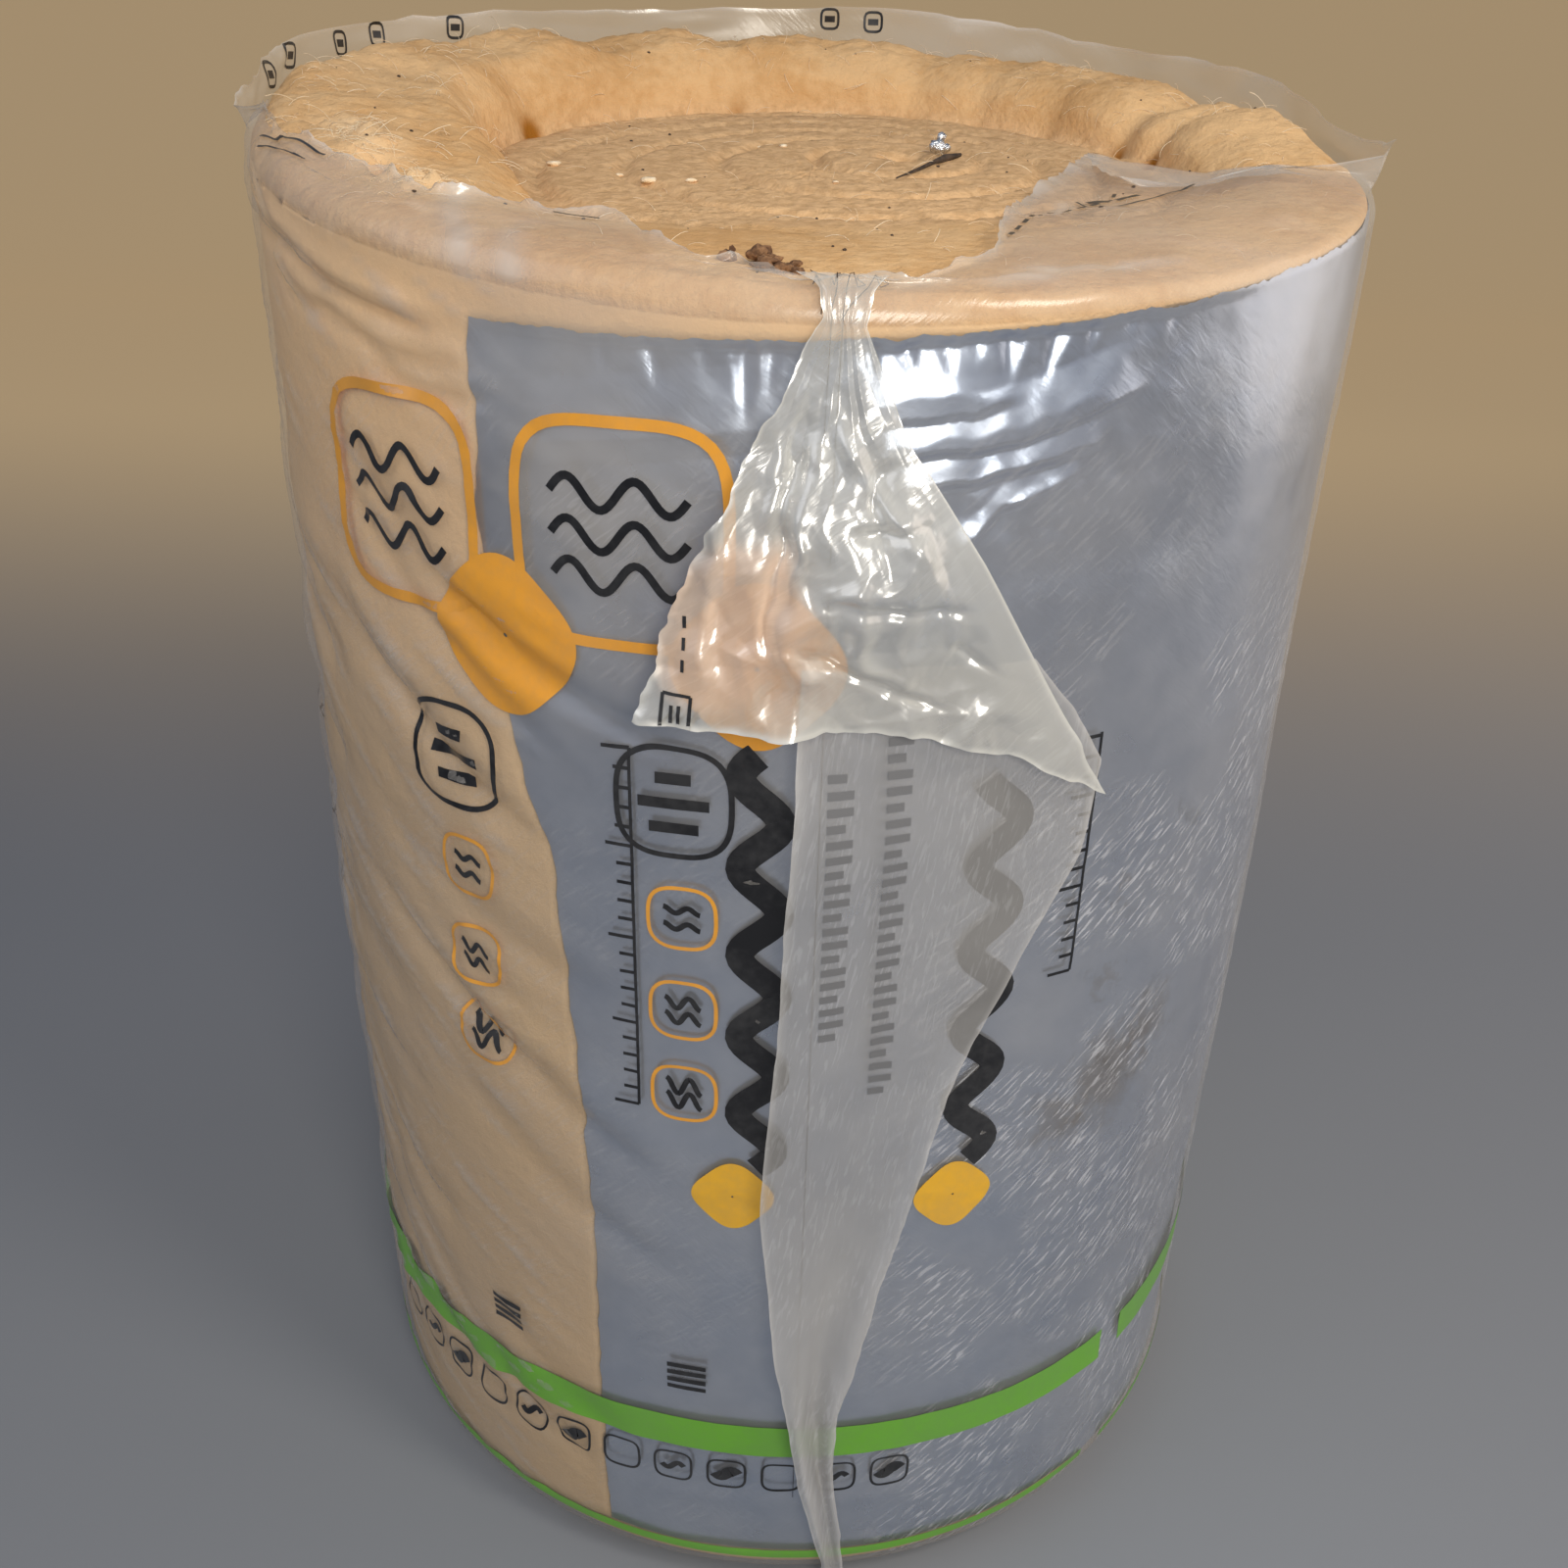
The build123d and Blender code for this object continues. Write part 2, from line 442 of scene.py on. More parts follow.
def tintWires(tree, where, first, second, patch, mottle):
    return groupWires(tree, tintGroup, {
        "Where": where, "First": first, "Second": second, "Patch": patch, "Mottle": mottle})


def makeTinted(name, first, second, patch, mottle, constants, relief=None):
    # a plain finish that drifts between two tints
    material, tree, shader = newMaterial(name, constants)
    tint = tintWires(tree, objectPlace(tree), first, second, patch, mottle)
    plug(tree, shader.inputs["Base Color"], tint["Colour"])
    if relief:
        bumpInto(tree, shader, tint["Mask"], *relief)
    return material


def makeTintGroup():
    # colour that drifts between two tints, in broad patches and fine mottle
    tree, wires, sink = newGroup("unevenTint", [
        ("Where", "Vector", None), ("First", "Color", (1, 1, 1, 1)), ("Second", "Color", (0, 0, 0, 1)),
        ("Patch", "Float", 8.0), ("Mottle", "Float", 90.0),
    ], [("Colour", "Color"), ("Mask", "Float")])
    broad = noiseWire(tree, wires["Where"], wires["Patch"], 2, 0.55, 0.4)
    fine = noiseWire(tree, wires["Where"], wires["Mottle"], 2, 0.6)
    mask = ramp(broad * 0.65 + fine * 0.35, 0.36, 0.64)
    plug(tree, sink.inputs["Colour"], mixColour(tree, mask, wires["First"], wires["Second"]))
    plug(tree, sink.inputs["Mask"], mask)
    return tree


def makeScuffGroup():
    # short wrinkles and scratches that run nearly one way, in patches
    tree, wires, sink = newGroup("fineScuffs", [
        ("Where", "Vector", None), ("Scale", "Float", 60.0), ("Stretch", "Float", 5.0),
        ("Line", "Float", 0.08), ("Patch", "Float", 12.0),
    ], [("Mask", "Float"), ("Height", "Float")])
    shape = wire(addNode(tree, "ShaderNodeCombineXYZ", {"X": 1.0, "Y": wires["Stretch"], "Z": 1.0}))
    along = addNode(tree, "ShaderNodeVectorMath", {0: wires["Where"], 1: shape}, operation="MULTIPLY")
    streaks = noiseWire(tree, wire(along), wires["Scale"], 2, 0.55, 0.5)
    thin = ramp(streaks, 0.51, wires["Line"] + 0.51)
    patches = ramp(noiseWire(tree, wires["Where"], wires["Patch"], 2), 0.40, 0.54)
    plug(tree, sink.inputs["Mask"], thin * patches)
    plug(tree, sink.inputs["Height"], (streaks - 0.5) * (patches * 0.7 + 0.3))
    return tree


def newGeometryTree(name, labels):
    # a tree with named number inputs; gives the tree, its wires and the inputs' identifiers
    tree = bpy.data.node_groups.new(name, "GeometryNodeTree")
    tree.interface.new_socket("Geometry", in_out="INPUT", socket_type="NodeSocketGeometry")
    tree.interface.new_socket("Geometry", in_out="OUTPUT", socket_type="NodeSocketGeometry")
    identifiers = {}
    for label in labels:
        kind = "NodeSocketInt" if label == "seed" else "NodeSocketFloat"
        socket = tree.interface.new_socket(label, in_out="INPUT", socket_type=kind)
        identifiers[label] = socket.identifier
    source = tree.nodes.new("NodeGroupInput")
    given = {label: Wire(tree, source.outputs[label]) for label in ["Geometry", *labels]}
    return tree, given, identifiers


def endTree(tree, geometry, material):
    real = addNode(tree, "GeometryNodeRealizeInstances", {"Geometry": geometry})
    dressed = addNode(tree, "GeometryNodeSetMaterial", {"Geometry": wire(real), "Material": material})
    sink = tree.nodes.new("NodeGroupOutput")
    plug(tree, sink.inputs["Geometry"], wire(dressed))


def applyTree(piece, tree, identifiers, values):
    # runs a tree on the piece, keeps the plain mesh and takes the modifier off
    modifier = piece.modifiers.new(tree.name, "NODES")
    modifier.node_group = tree
    for label, identifier in identifiers.items():
        modifier[identifier] = values[label]
    graph = bpy.context.evaluated_depsgraph_get()
    graph.update()
    result = bpy.data.meshes.new_from_object(
        piece.evaluated_get(graph), preserve_all_data_layers=True, depsgraph=graph)
    piece.modifiers.clear()
    result.name = piece.name
    piece.data = result


# Relief that the wool, the foil and the film share

sideFolds = {
    "seed": 11,
    "count": 46,
    "main": [                        # the long folds round the left shoulder, as (turn, height) runs
        ((-74, 0.597), (-56, 0.5842), 0.0034, 0.0028), ((-58, 0.586), (-33, 0.5668), 0.0038, 0.0026),
        ((-58, 0.572), (-46, 0.5650), 0.0018, 0.0030), ((-48, 0.566), (-30, 0.5556), 0.0026, 0.0026),
        ((-40, 0.552), (-28, 0.5470), 0.0020, 0.0028), ((-70, 0.612), (-58, 0.5900), 0.0016, 0.0022),
    ],
    "turns": (-96, -34),
    "heights": (0.06, 0.56),
    "length": (0.04, 0.12),
    "slope": (-0.80, -0.30),
    "depth": (0.0012, 0.0036),
    "width": (0.0040, 0.0090),
    "lean": 0.0020,                  # how far the shoulder leans in over the front
    "leanBand": 0.060,
    "broad": 0.0012,                 # height of the roll's broad unevenness
    "swell": 0.45,                   # height of the swelling beside a fold, as a share of its depth
}


def filmFolds(runs):
    # folds given as (turn, height) runs, laid out flat on the film
    return [(arcOf(turnA), heightA, arcOf(turnB), heightB, depth, width)
            for (turnA, heightA), (turnB, heightB), depth, width in runs]


def foldList():
    # the long shoulder folds first, then shorter slanting ones down the bare left side
    chance = np.random.default_rng(sideFolds["seed"])
    found = filmFolds(sideFolds["main"])
    for _ in range(sideFolds["count"]):
        u = arcOf(chance.uniform(*sideFolds["turns"]))
        z = chance.uniform(*sideFolds["heights"])
        run = chance.uniform(*sideFolds["length"])
        slope = chance.uniform(*sideFolds["slope"])
        depth, width = chance.uniform(*sideFolds["depth"]), chance.uniform(*sideFolds["width"])
        found.append((u, z, u + run, z + run * slope, depth, width))
    return found


def lineFolds(u, z, folds, bend=0.004):
    # straight tucks: a sharp valley with a soft swelling beside it
    total = 0
    for uA, zA, uB, zB, depth, width in folds:
        along, off = alongLine(u, z, (uA, zA), (uB, zB))
        off = off + bend * np.sin(along * 2.6)
        taper = smooth(along / 0.3 + 0.5) * smooth((1 - along) / 0.3 + 0.5)
        swelling = sideFolds["swell"] * bell(off - 2.0 * width, 1.6 * width)
        total = total - depth * taper * (bell(off, width) - swelling)
    return total


slantingFolds = foldList()


def filmStep(skin):
    return rollForm["filmStep"] if skin == "filmRadius" else 0


def shoulderHeight(turn, skin="filmRadius"):
    # where the rim's rounding begins on the wool or on the film
    rim = planeHeight("rim", *around(turn, rollForm[skin]))
    return rim - roundAt(turn) + filmStep(skin)


def rimSlope(turn, inward):
    # how much higher the rim's plane is a little nearer to the axis
    return -planeHeight("rim", *around(turn, inward)) + rollForm["rim"][0]


def onSide(skin, turn, path, stand):
    # a point on the wool's or the film's skin: up the side, then over the rim, at a distance outwards
    edge = roundAt(turn) + filmStep(skin)
    shoulder = shoulderHeight(turn, skin)
    beyond = np.clip(path - shoulder, 0, edge * np.pi / 2)
    angle = beyond / edge
    inward = np.maximum(path - shoulder - edge * np.pi / 2, 0)
    relief = sideRelief(turn, np.minimum(path, shoulder))
    r = rollForm[skin] + relief - edge + (edge + stand) * np.cos(angle) - inward
    z = np.minimum(path, shoulder) + (edge + stand) * np.sin(angle)
    z = z + rimSlope(turn, edge * (1 - np.cos(angle)))
    return np.stack([*around(turn, r), z], axis=-1)


def sideRelief(turn, z):
    x, y = around(turn, 1.6)
    broad = sideFolds["broad"] * layeredNoise(x, y, z * 7, 2, 21)
    topEdge = planeHeight("foilTop", *around(turn, rollForm["woolRadius"]))
    front = smooth((turn + 40) / 25) * smooth((75 - turn) / 30)
    lean = sideFolds["lean"] * front * smooth((z - topEdge) / sideFolds["leanBand"] + 1)
    return broad + lineFolds(arcOf(turn), z, slantingFolds) - lean


# Wool: one turned form with its slipped last turn

wool = {
    "columnRuns": [(-180, -96, 96), (-96, -20, 140), (-20, 60, 88), (60, 180, 146)],
    "sideRows": 78,
    "coreRows": 48,
    "endRows": (13, 19, 17),        # over the flat base, the last turn's top and its inner wall
    "roundRows": 8,
    "hiddenDepth": 0.0050,          # how far the wool keeps under the foil, for the foil's creases
    "foot": [                       # turn, radius of the last turn's foot, width of its inner wall
        (-180, 0.175, 0.020), (-160, 0.172, 0.020), (-134, 0.162, 0.020), (-108, 0.150, 0.020),
        (-90, 0.134, 0.020), (-70, 0.123, 0.022), (-52, 0.126, 0.026), (-40, 0.135, 0.045),
        (-28, 0.110, 0.090), (-10, 0.090, 0.115), (30, 0.090, 0.115), (50, 0.120, 0.080),
        (70, 0.150, 0.045), (81, 0.155, 0.035), (94, 0.155, 0.024), (109, 0.157, 0.020),
        (132, 0.160, 0.020), (164, 0.174, 0.020), (180, 0.175, 0.020),
    ],
    "dents": [                      # turn, depth and half width of the tucks between the lobes
        (-124, 1.0, 5.0), (-146, 0.35, 6.0), (-167, 0.8, 3.8), (163, 0.6, 3.4), (151, 0.5, 3.0),
        (136, 0.6, 4.5), (118, 0.9, 3.4), (108, 1.0, 2.8), (-105, 0.3, 7.0),
    ],
    "crest": [                      # turn, and how far the lip's crest stands above the rim's plane
        (-180, 0), (-146, 0), (-136, 0.004), (-116, 0.006), (-80, 0.006), (-66, 0.004), (-50, 0),
        (72, 0), (86, 0.005), (98, 0.0085), (106, 0.0075), (114, 0.0055), (122, 0.0040),
        (136, 0.0040), (148, 0.0005), (180, 0),
    ],
    "crestRadius": (0.2195, 0.014),  # where the crest ends at the outer edge, and over what width
    "crownRadius": 0.205,
    "lobeHeight": 0.0034,
    "lobeTurn": 14,                 # turn of one lobe
    "dentDepth": 0.0040,
    "moat": (0.002, 0.006, 0.006),  # hollow at the last turn's foot: depth, more in a tuck, half width
    "wallHollow": 0.0065,           # how far the inner wall is drawn in
    "lumps": (0.0013, 150),         # height, and how many to a metre
    "softLumps": (0.0020, 34),
    "streaks": (0.0008, 330),
    "stripEnd": [                   # height and turn of the strip's end, seen through the film
        (0.0, -20.5), (0.155, -20.6), (0.238, -20.8), (0.383, -23.1), (0.456, -28.1), (0.720, -28.2),
    ],
    "foilEnd": 227.2,               # turn of the facing's hidden end
    "torn": (-72, -40),             # turns of the torn end of the last turn
    "tornRadius": (0.186, 0.012),   # its middle and half width
    "tornTufts": (0.008, 0.003),    # height of the large and the fine tufts
    "notch": (-53, 2.3, 0.184, 0.0070, 0.013),   # turn and half width, radius and half width, depth
    "pitWidth": 0.0036,             # of the painted shade line in the tucks
    "flatBase": 0.150,
    "baseLift": 0.0013,
    "crownTints": ((0.655, 0.385, 0.168, 1), (0.79, 0.515, 0.262, 1)),
    "coreTints": ((0.64, 0.40, 0.20, 1), (0.80, 0.52, 0.275, 1)),
    "sideShadeTints": ((0.65, 0.45, 0.25, 1), (0.93, 0.61, 0.31, 1)),   # painted shade: darker below, lighter up towards the rim, for light that falls off downwards
    "tornTint": (0.90, 0.66, 0.40, 1),
    # colour of the painted shade in the pits
    "pitShadeTint": (0.38, 0.15, 0.02, 1),
    "fuzzScale": 170.0,
}


def stripEndTurn(z):
    ragged = 0.6 * noise(z * 38, 0.3, 0, 5) + 0.3 * noise(z * 120, 0.3, 0, 6)
    return readTable(wool["stripEnd"], z) + ragged


def dentShare(turn):
    total = 0
    for place, depth, width in wool["dents"]:
        total = total + depth * bell(turnGap(turn, place), width)
    return np.clip(total, 0, 1)


def footOf(turn):
    turns, feet, walls = zip(*wool["foot"])
    wrapped = turnGap(turn, 0)
    return np.interp(wrapped, turns, feet), np.interp(wrapped, turns, walls)


def backShare(turn):
    # 0 where the last turn is level with the core in front, 1 where it stands above it
    wrapped = turnGap(turn, 0)
    return 1 - smooth((wrapped + 62) / 25) * smooth((100 - wrapped) / 25)


def liftShare(turn, radius):
    foot, wall = footOf(turn)
    rise = smooth((radius - foot) / wall)
    crown = np.clip((radius - foot) / (wool["crownRadius"] - foot), 0, 1) ** 0.7
    return 0.8 * rise + 0.2 * crown


def topHeight(turn, radius):
    # height of the wool's top, with the last turn's lobes and the outer rounding
    x, y = around(turn, radius)
    core = planeHeight("core", x, y)
    lift = liftShare(turn, radius)
    back = backShare(turn)
    foot, _ = footOf(turn)
    dents = dentShare(turn)
    crestEnd, crestFade = wool["crestRadius"]
    crest = readTable(wool["crest"], turnGap(turn, 0)) * smooth((crestEnd - radius) / crestFade)
    lobes = wool["lobeHeight"] * noise(turn / wool["lobeTurn"], radius * 20, 0, 31)
    lobes = lobes - wool["dentDepth"] * dents + crest
    height = core + (planeHeight("rim", x, y) - core + back * lobes) * lift
    moatDepth, tuckDepth, moatWidth = wool["moat"]
    height = height - back * bell(radius - foot, moatWidth) * (moatDepth + tuckDepth * dents ** 2)
    edge = roundAt(turn)
    over = np.clip(radius - (rollForm["woolRadius"] - edge), 0, edge)
    return height - (edge - np.sqrt(np.maximum(edge ** 2 - over ** 2, 0)))


def underFoil(turn, path):
    # 1 where the foil covers the wool's side, easing out just above its top edge
    x, y = around(turn, rollForm["woolRadius"])
    bare = smooth((stripEndTurn(path) - turnGap(turn, 0)) / 1.2 + 0.5)
    bare = bare * smooth((turnGap(turn, 0) - (wool["foilEnd"] - 360)) / 1.2 + 0.5)
    below = smooth((planeHeight("foilTop", x, y) - path) / 0.004 + 0.12)
    return (1 - bare) * below * smooth(path / 0.02 - 0.5)


def tornEnd(turns, r, x, y, z):
    # the torn end of the last turn: where it is, how high its tufts stand, and the notch beside it
    first, last = wool["torn"]
    radius, width = wool["tornRadius"]
    wrapped = turnGap(turns, 0)
    torn = smooth((wrapped - first) / 5) * smooth((last - wrapped) / 4) * bell(r - radius, width)
    large, fine = wool["tornTufts"]
    tufts = large * np.abs(noise(x * 100, y * 100, z * 40, 51)) + fine * noise(x * 260, y * 260, 0, 53)
    turn, halfTurn, radius, halfWidth, _ = wool["notch"]
    return torn, tufts, bell(turnGap(turns, turn), halfTurn) * bell(r - radius, halfWidth)


def makeWool(material):
    radius, base = rollForm["woolRadius"], rollForm["baseRound"]
    baseRows, crownRows, wallRows = wool["endRows"]
    turn = columnTurns(wool["columnRuns"])
    edge = roundAt(turn)
    quarter = np.linspace(0, np.pi / 2, wool["roundRows"])[:, None]
    lift = wool["baseLift"]
    flat = np.linspace(0.003, radius - base, baseRows)[:-1, None] + 0 * turn
    flatZ = lift * smooth((flat - wool["flatBase"]) / 0.004)
    cornerR = radius - base + base * np.sin(quarter) + 0 * turn
    cornerZ = lift + base * (1 - np.cos(quarter)) + 0 * turn
    shoulder = shoulderHeight(turn, "woolRadius")
    level = 1 - (1 - np.linspace(0, 1, wool["sideRows"] + 2)[1:-1, None]) ** 1.5
    sideZ = lift + base + (shoulder - lift - base) * level
    sideR = radius + 0 * sideZ
    roundR = radius - edge + edge * np.cos(quarter[:-1])
    foot, wall = footOf(turn)
    inner = radius - edge
    crown = inner + (foot + wall - inner) * np.linspace(0, 1, crownRows)[:-1, None]
    face = foot + wall - (wall + 0.004) * np.linspace(0, 1, wallRows)[:-1, None]
    core = 0.002 + (foot - 0.006) * (1 - np.linspace(0, 1, wool["coreRows"])[:-1, None])
    topR = np.concatenate([roundR, crown, face, core])
    topZ = topHeight(turn + 0 * topR, topR)
    r = np.concatenate([flat, cornerR, sideR, topR])
    z = np.concatenate([flatZ, cornerZ, sideZ, topZ])
    isTop = np.zeros(r.shape)
    isTop[-len(topR):] = 1
    path = z.copy()                 # height measured along the skin, over the rounding
    path[-len(topR):] = 9
    path[-len(topR):][:len(roundR)] = shoulder + edge * quarter[:-1]
    turns = turn + 0 * r
    x, y = around(turns, r)
    back, dents = backShare(turns), dentShare(turns)
    lifted = liftShare(turns, r) * isTop
    footR, wallR = footOf(turns)
    wallShare = np.clip(1 - np.abs(2 * np.clip((r - footR) / wallR, 0, 1) - 1), 0, 1) * isTop
    outward = sideRelief(turns, z) * smooth((r - 0.19) / 0.02) * smooth(z / 0.05)
    outward = outward - wool["hiddenDepth"] * underFoil(turns, path)
    outward = outward - wool["wallHollow"] * wallShare * back * (1 - 0.8 * dents)
    height, fine = wool["lumps"]
    lumps = height * layeredNoise(x * fine, y * fine, z * fine, 2, 41)
    lumps = lumps * isTop * (0.25 + 0.75 * lifted * back)
    height, fine = wool["softLumps"]
    softLumps = height * noise(x * fine, y * fine, z * 26, 44) * isTop * lifted * back
    height, fine = wool["streaks"]
    streaks = height * noise(r * fine, turns / 9, 0, 47) * isTop * (1 - lifted)
    torn, tufts, pressedIn = tornEnd(turns, r, x, y, z)
    torn, pressedIn = torn * isTop, pressedIn * isTop
    torn = torn * (1 - pressedIn)
    skinR = r
    r = r + outward + 0.5 * lumps * wallShare
    z = z + lumps + softLumps + streaks + torn * tufts - wool["notch"][-1] * pressedIn
    points = np.stack([*around(turns, r), z], axis=-1)
    u = closedUp(turns, 360) / 360 * 2 * np.pi * radius
    uv = np.stack([u, closedUp(pathLength(points))], axis=-1)
    mesh = gridMesh("woolRoll", points, uv, closed=True, capFirst=True, capLast=True)
    # painted shade: dark amber in the pits of the tucks and the notch, and a little up the inner wall
    pit = 1.15 * isTop * back * bell(skinR - footR - 0.003, wool["pitWidth"]) * dents ** 4 + pressedIn
    addAttributes(
        mesh, pitShade=np.clip(pit + 0.12 * isTop * back * wallShare * dents ** 2, 0, 1),
        crownShare=lifted, sideShare=1 - isTop, tornShare=torn,
        fuzz=isTop * (0.12 + 0.4 * lifted * back + 4.0 * torn) * smooth((0.214 - r) / 0.01))
    piece = addPiece("woolRoll", mesh, material)
    windTurns(piece, material)
    settle(piece, "glass_wool", "wool_roll")
    return piece


windings = {
    "pitch": 0.0315,
    "depth": 0.0030,
    "width": 0.15,                  # of the pitch, each side of the line
    "eyeX": 0.0386,
    "eyeY": 0.0460,
    "coreRadius": 0.175,
    "wander": 0.55,                 # how far a turn strays, as a share of the pitch
}


def windTurns(piece, material):
    # the slipped spiral of the strip, pressed into the core's top and the base
    tree, given, identifiers = newGeometryTree("windTurns", list(windings))
    place = wire(addNode(tree, "GeometryNodeInputPosition"))
    x, y, z = axesOf(tree, place)
    stray = addNode(tree, "ShaderNodeTexNoise", {"Vector": place, "Scale": 14.0, "Detail": 2.0})
    qx, qy = x - given["eyeX"], y - given["eyeY"]
    kx, ky = given["eyeX"] / given["coreRadius"], given["eyeY"] / given["coreRadius"]
    across = qx * kx + qy * ky
    left = 1 - (kx * kx + ky * ky)
    ring = (across + mathNode(tree, "SQRT", across * across + left * (qx * qx + qy * qy))) / left
    slip = 1 - ring / given["coreRadius"]
    bearing = mathNode(tree, "ARCTAN2", y - given["eyeY"] * slip, x - given["eyeX"] * slip)
    turnsIn = ring / given["pitch"] - bearing / (2 * math.pi)
    phase = turnsIn + (wire(stray, "Fac") - 0.5) * given["wander"]
    gap = mathNode(tree, "ABSOLUTE", mathNode(tree, "FRACT", phase) - 0.5)
    groove = ramp(gap, 0.0, given["width"], 1.0, 0.0)
    eye = ramp(mathNode(tree, "SQRT", qx * qx + qy * qy), 0.004, 0.012, 1.0, 0.0)
    reach = mathNode(tree, "SQRT", x * x + y * y)
    coreZ = mathNode(tree, "ABSOLUTE", z - (y * rollForm["core"][1] + rollForm["core"][0]))
    onCore = ramp(coreZ, 0.003, 0.007, 1.0, 0.0) * ramp(reach, 0.155, 0.175, 1.0, 0.0)
    onBase = ramp(z, 0.0005, 0.001, 1.0, 0.0) * ramp(reach, 0.140, 0.146, 1.0, 0.0)
    pressed = (groove + eye * 3.0) * given["depth"]
    shift = wire(addNode(tree, "ShaderNodeCombineXYZ", {"Z": pressed * (onBase * 1.6 - onCore)}))
    moved = addNode(tree, "GeometryNodeSetPosition", {"Geometry": given["Geometry"], "Offset": shift})
    endTree(tree, wire(moved), material)
    applyTree(piece, tree, identifiers, windings)


fibres = {
    "density": 17000.0,             # per square metre where the wool is most open
    "length": 0.0085,
    "radius": 0.00011,
    "tilt": 0.55,
    "shortest": 0.4,                # least and greatest size, as a share of the length
    "longest": 1.4,
    "seed": 5,
}


def makeFibres(woolPiece, material):
    # loose glass fibres that stand off the wool's open top
    tree, given, identifiers = newGeometryTree("scatterFibres", list(fibres))
    fuzz = addNode(tree, "GeometryNodeInputNamedAttribute", {"Name": "fuzz"}, data_type="FLOAT")
    spread = addNode(tree, "GeometryNodeDistributePointsOnFaces", {
        "Mesh": given["Geometry"], "Density": wire(fuzz) * given["density"], "Seed": given["seed"]})
    length = given["length"]
    middle = addNode(tree, "ShaderNodeCombineXYZ", {"X": length * 0.5, "Z": length * 0.30})
    end = addNode(tree, "ShaderNodeCombineXYZ", {"X": length, "Y": length * 0.2, "Z": length * 0.1})
    line = addNode(tree, "GeometryNodeCurveQuadraticBezier", {
        "Resolution": 4, "Start": (0, 0, 0), "Middle": wire(middle), "End": wire(end)})
    ring = addNode(
        tree, "GeometryNodeCurvePrimitiveCircle", {"Resolution": 3, "Radius": given["radius"]})
    strand = addNode(tree, "GeometryNodeCurveToMesh", {
        "Curve": wire(line), "Profile Curve": wire(ring), "Fill Caps": True})
    lay = addNode(
        tree, "FunctionNodeRandomValue", {"Max": (1.0, 1.0, 2 * math.pi), "Seed": 3},
        data_type="FLOAT_VECTOR")
    tiltX, tiltY, bearing = axesOf(tree, wire(lay))
    tilt = given["tilt"]
    pose = addNode(tree, "ShaderNodeCombineXYZ", {
        "X": (tiltX - 0.5) * tilt, "Y": (tiltY - 0.5) * tilt, "Z": bearing})
    size = addNode(
        tree, "FunctionNodeRandomValue", {2: given["shortest"], 3: given["longest"], "Seed": 4},
        data_type="FLOAT")
    strands = addNode(tree, "GeometryNodeInstanceOnPoints", {
        "Points": wire(spread, "Points"), "Instance": wire(strand),
        "Rotation": wire(spread, "Rotation"), "Scale": wire(size, 1)})
    laid = addNode(
        tree, "GeometryNodeRotateInstances", {"Instances": wire(strands), "Rotation": wire(pose)})
    endTree(tree, wire(laid), material)
    piece = addPiece("woolFibres", woolPiece.data.copy())
    applyTree(piece, tree, identifiers, fibres)
    settle(piece, "glass_wool")


def makeWoolMaterial():
    material, tree, shader = newMaterial(
        "glassWool", {"Roughness": 1.0, "Specular IOR Level": 0.1})
    where = objectPlace(tree)
    pit, crown, torn, side = (
        attribute(tree, name) for name in ("pitShade", "crownShare", "tornShare", "sideShare"))
    tint = tintWires(tree, where, *wool["crownTints"], 14.0, 150.0)
    fuzz = noiseWire(tree, where, wool["fuzzScale"], 4, 0.66)
    coreTint = mixColour(tree, ramp(fuzz, 0.36, 0.62), *wool["coreTints"])
    colour = mixColour(tree, ramp(crown, 0.02, 0.25), coreTint, tint["Colour"])
    # painted shade: the bare side is darkened lower down, by height
    sideShadeTint = mixColour(tree, ramp(axesOf(tree, where)[2], 0.36, 0.58), *wool["sideShadeTints"])
    colour = mixColour(tree, side, colour, sideShadeTint)
    colour = mixColour(tree, torn * 0.6, colour, wool["tornTint"])
    # painted shade in the pits and the notch
    colour = mixColour(tree, ramp(pit, 0.05, 0.9), colour, wool["pitShadeTint"])
    plug(tree, shader.inputs["Base Color"], colour)
    bumpInto(tree, shader, (fuzz - 0.5) * (1 - side * 0.6), 0.8, 0.0020)
    return material


# Foil facing

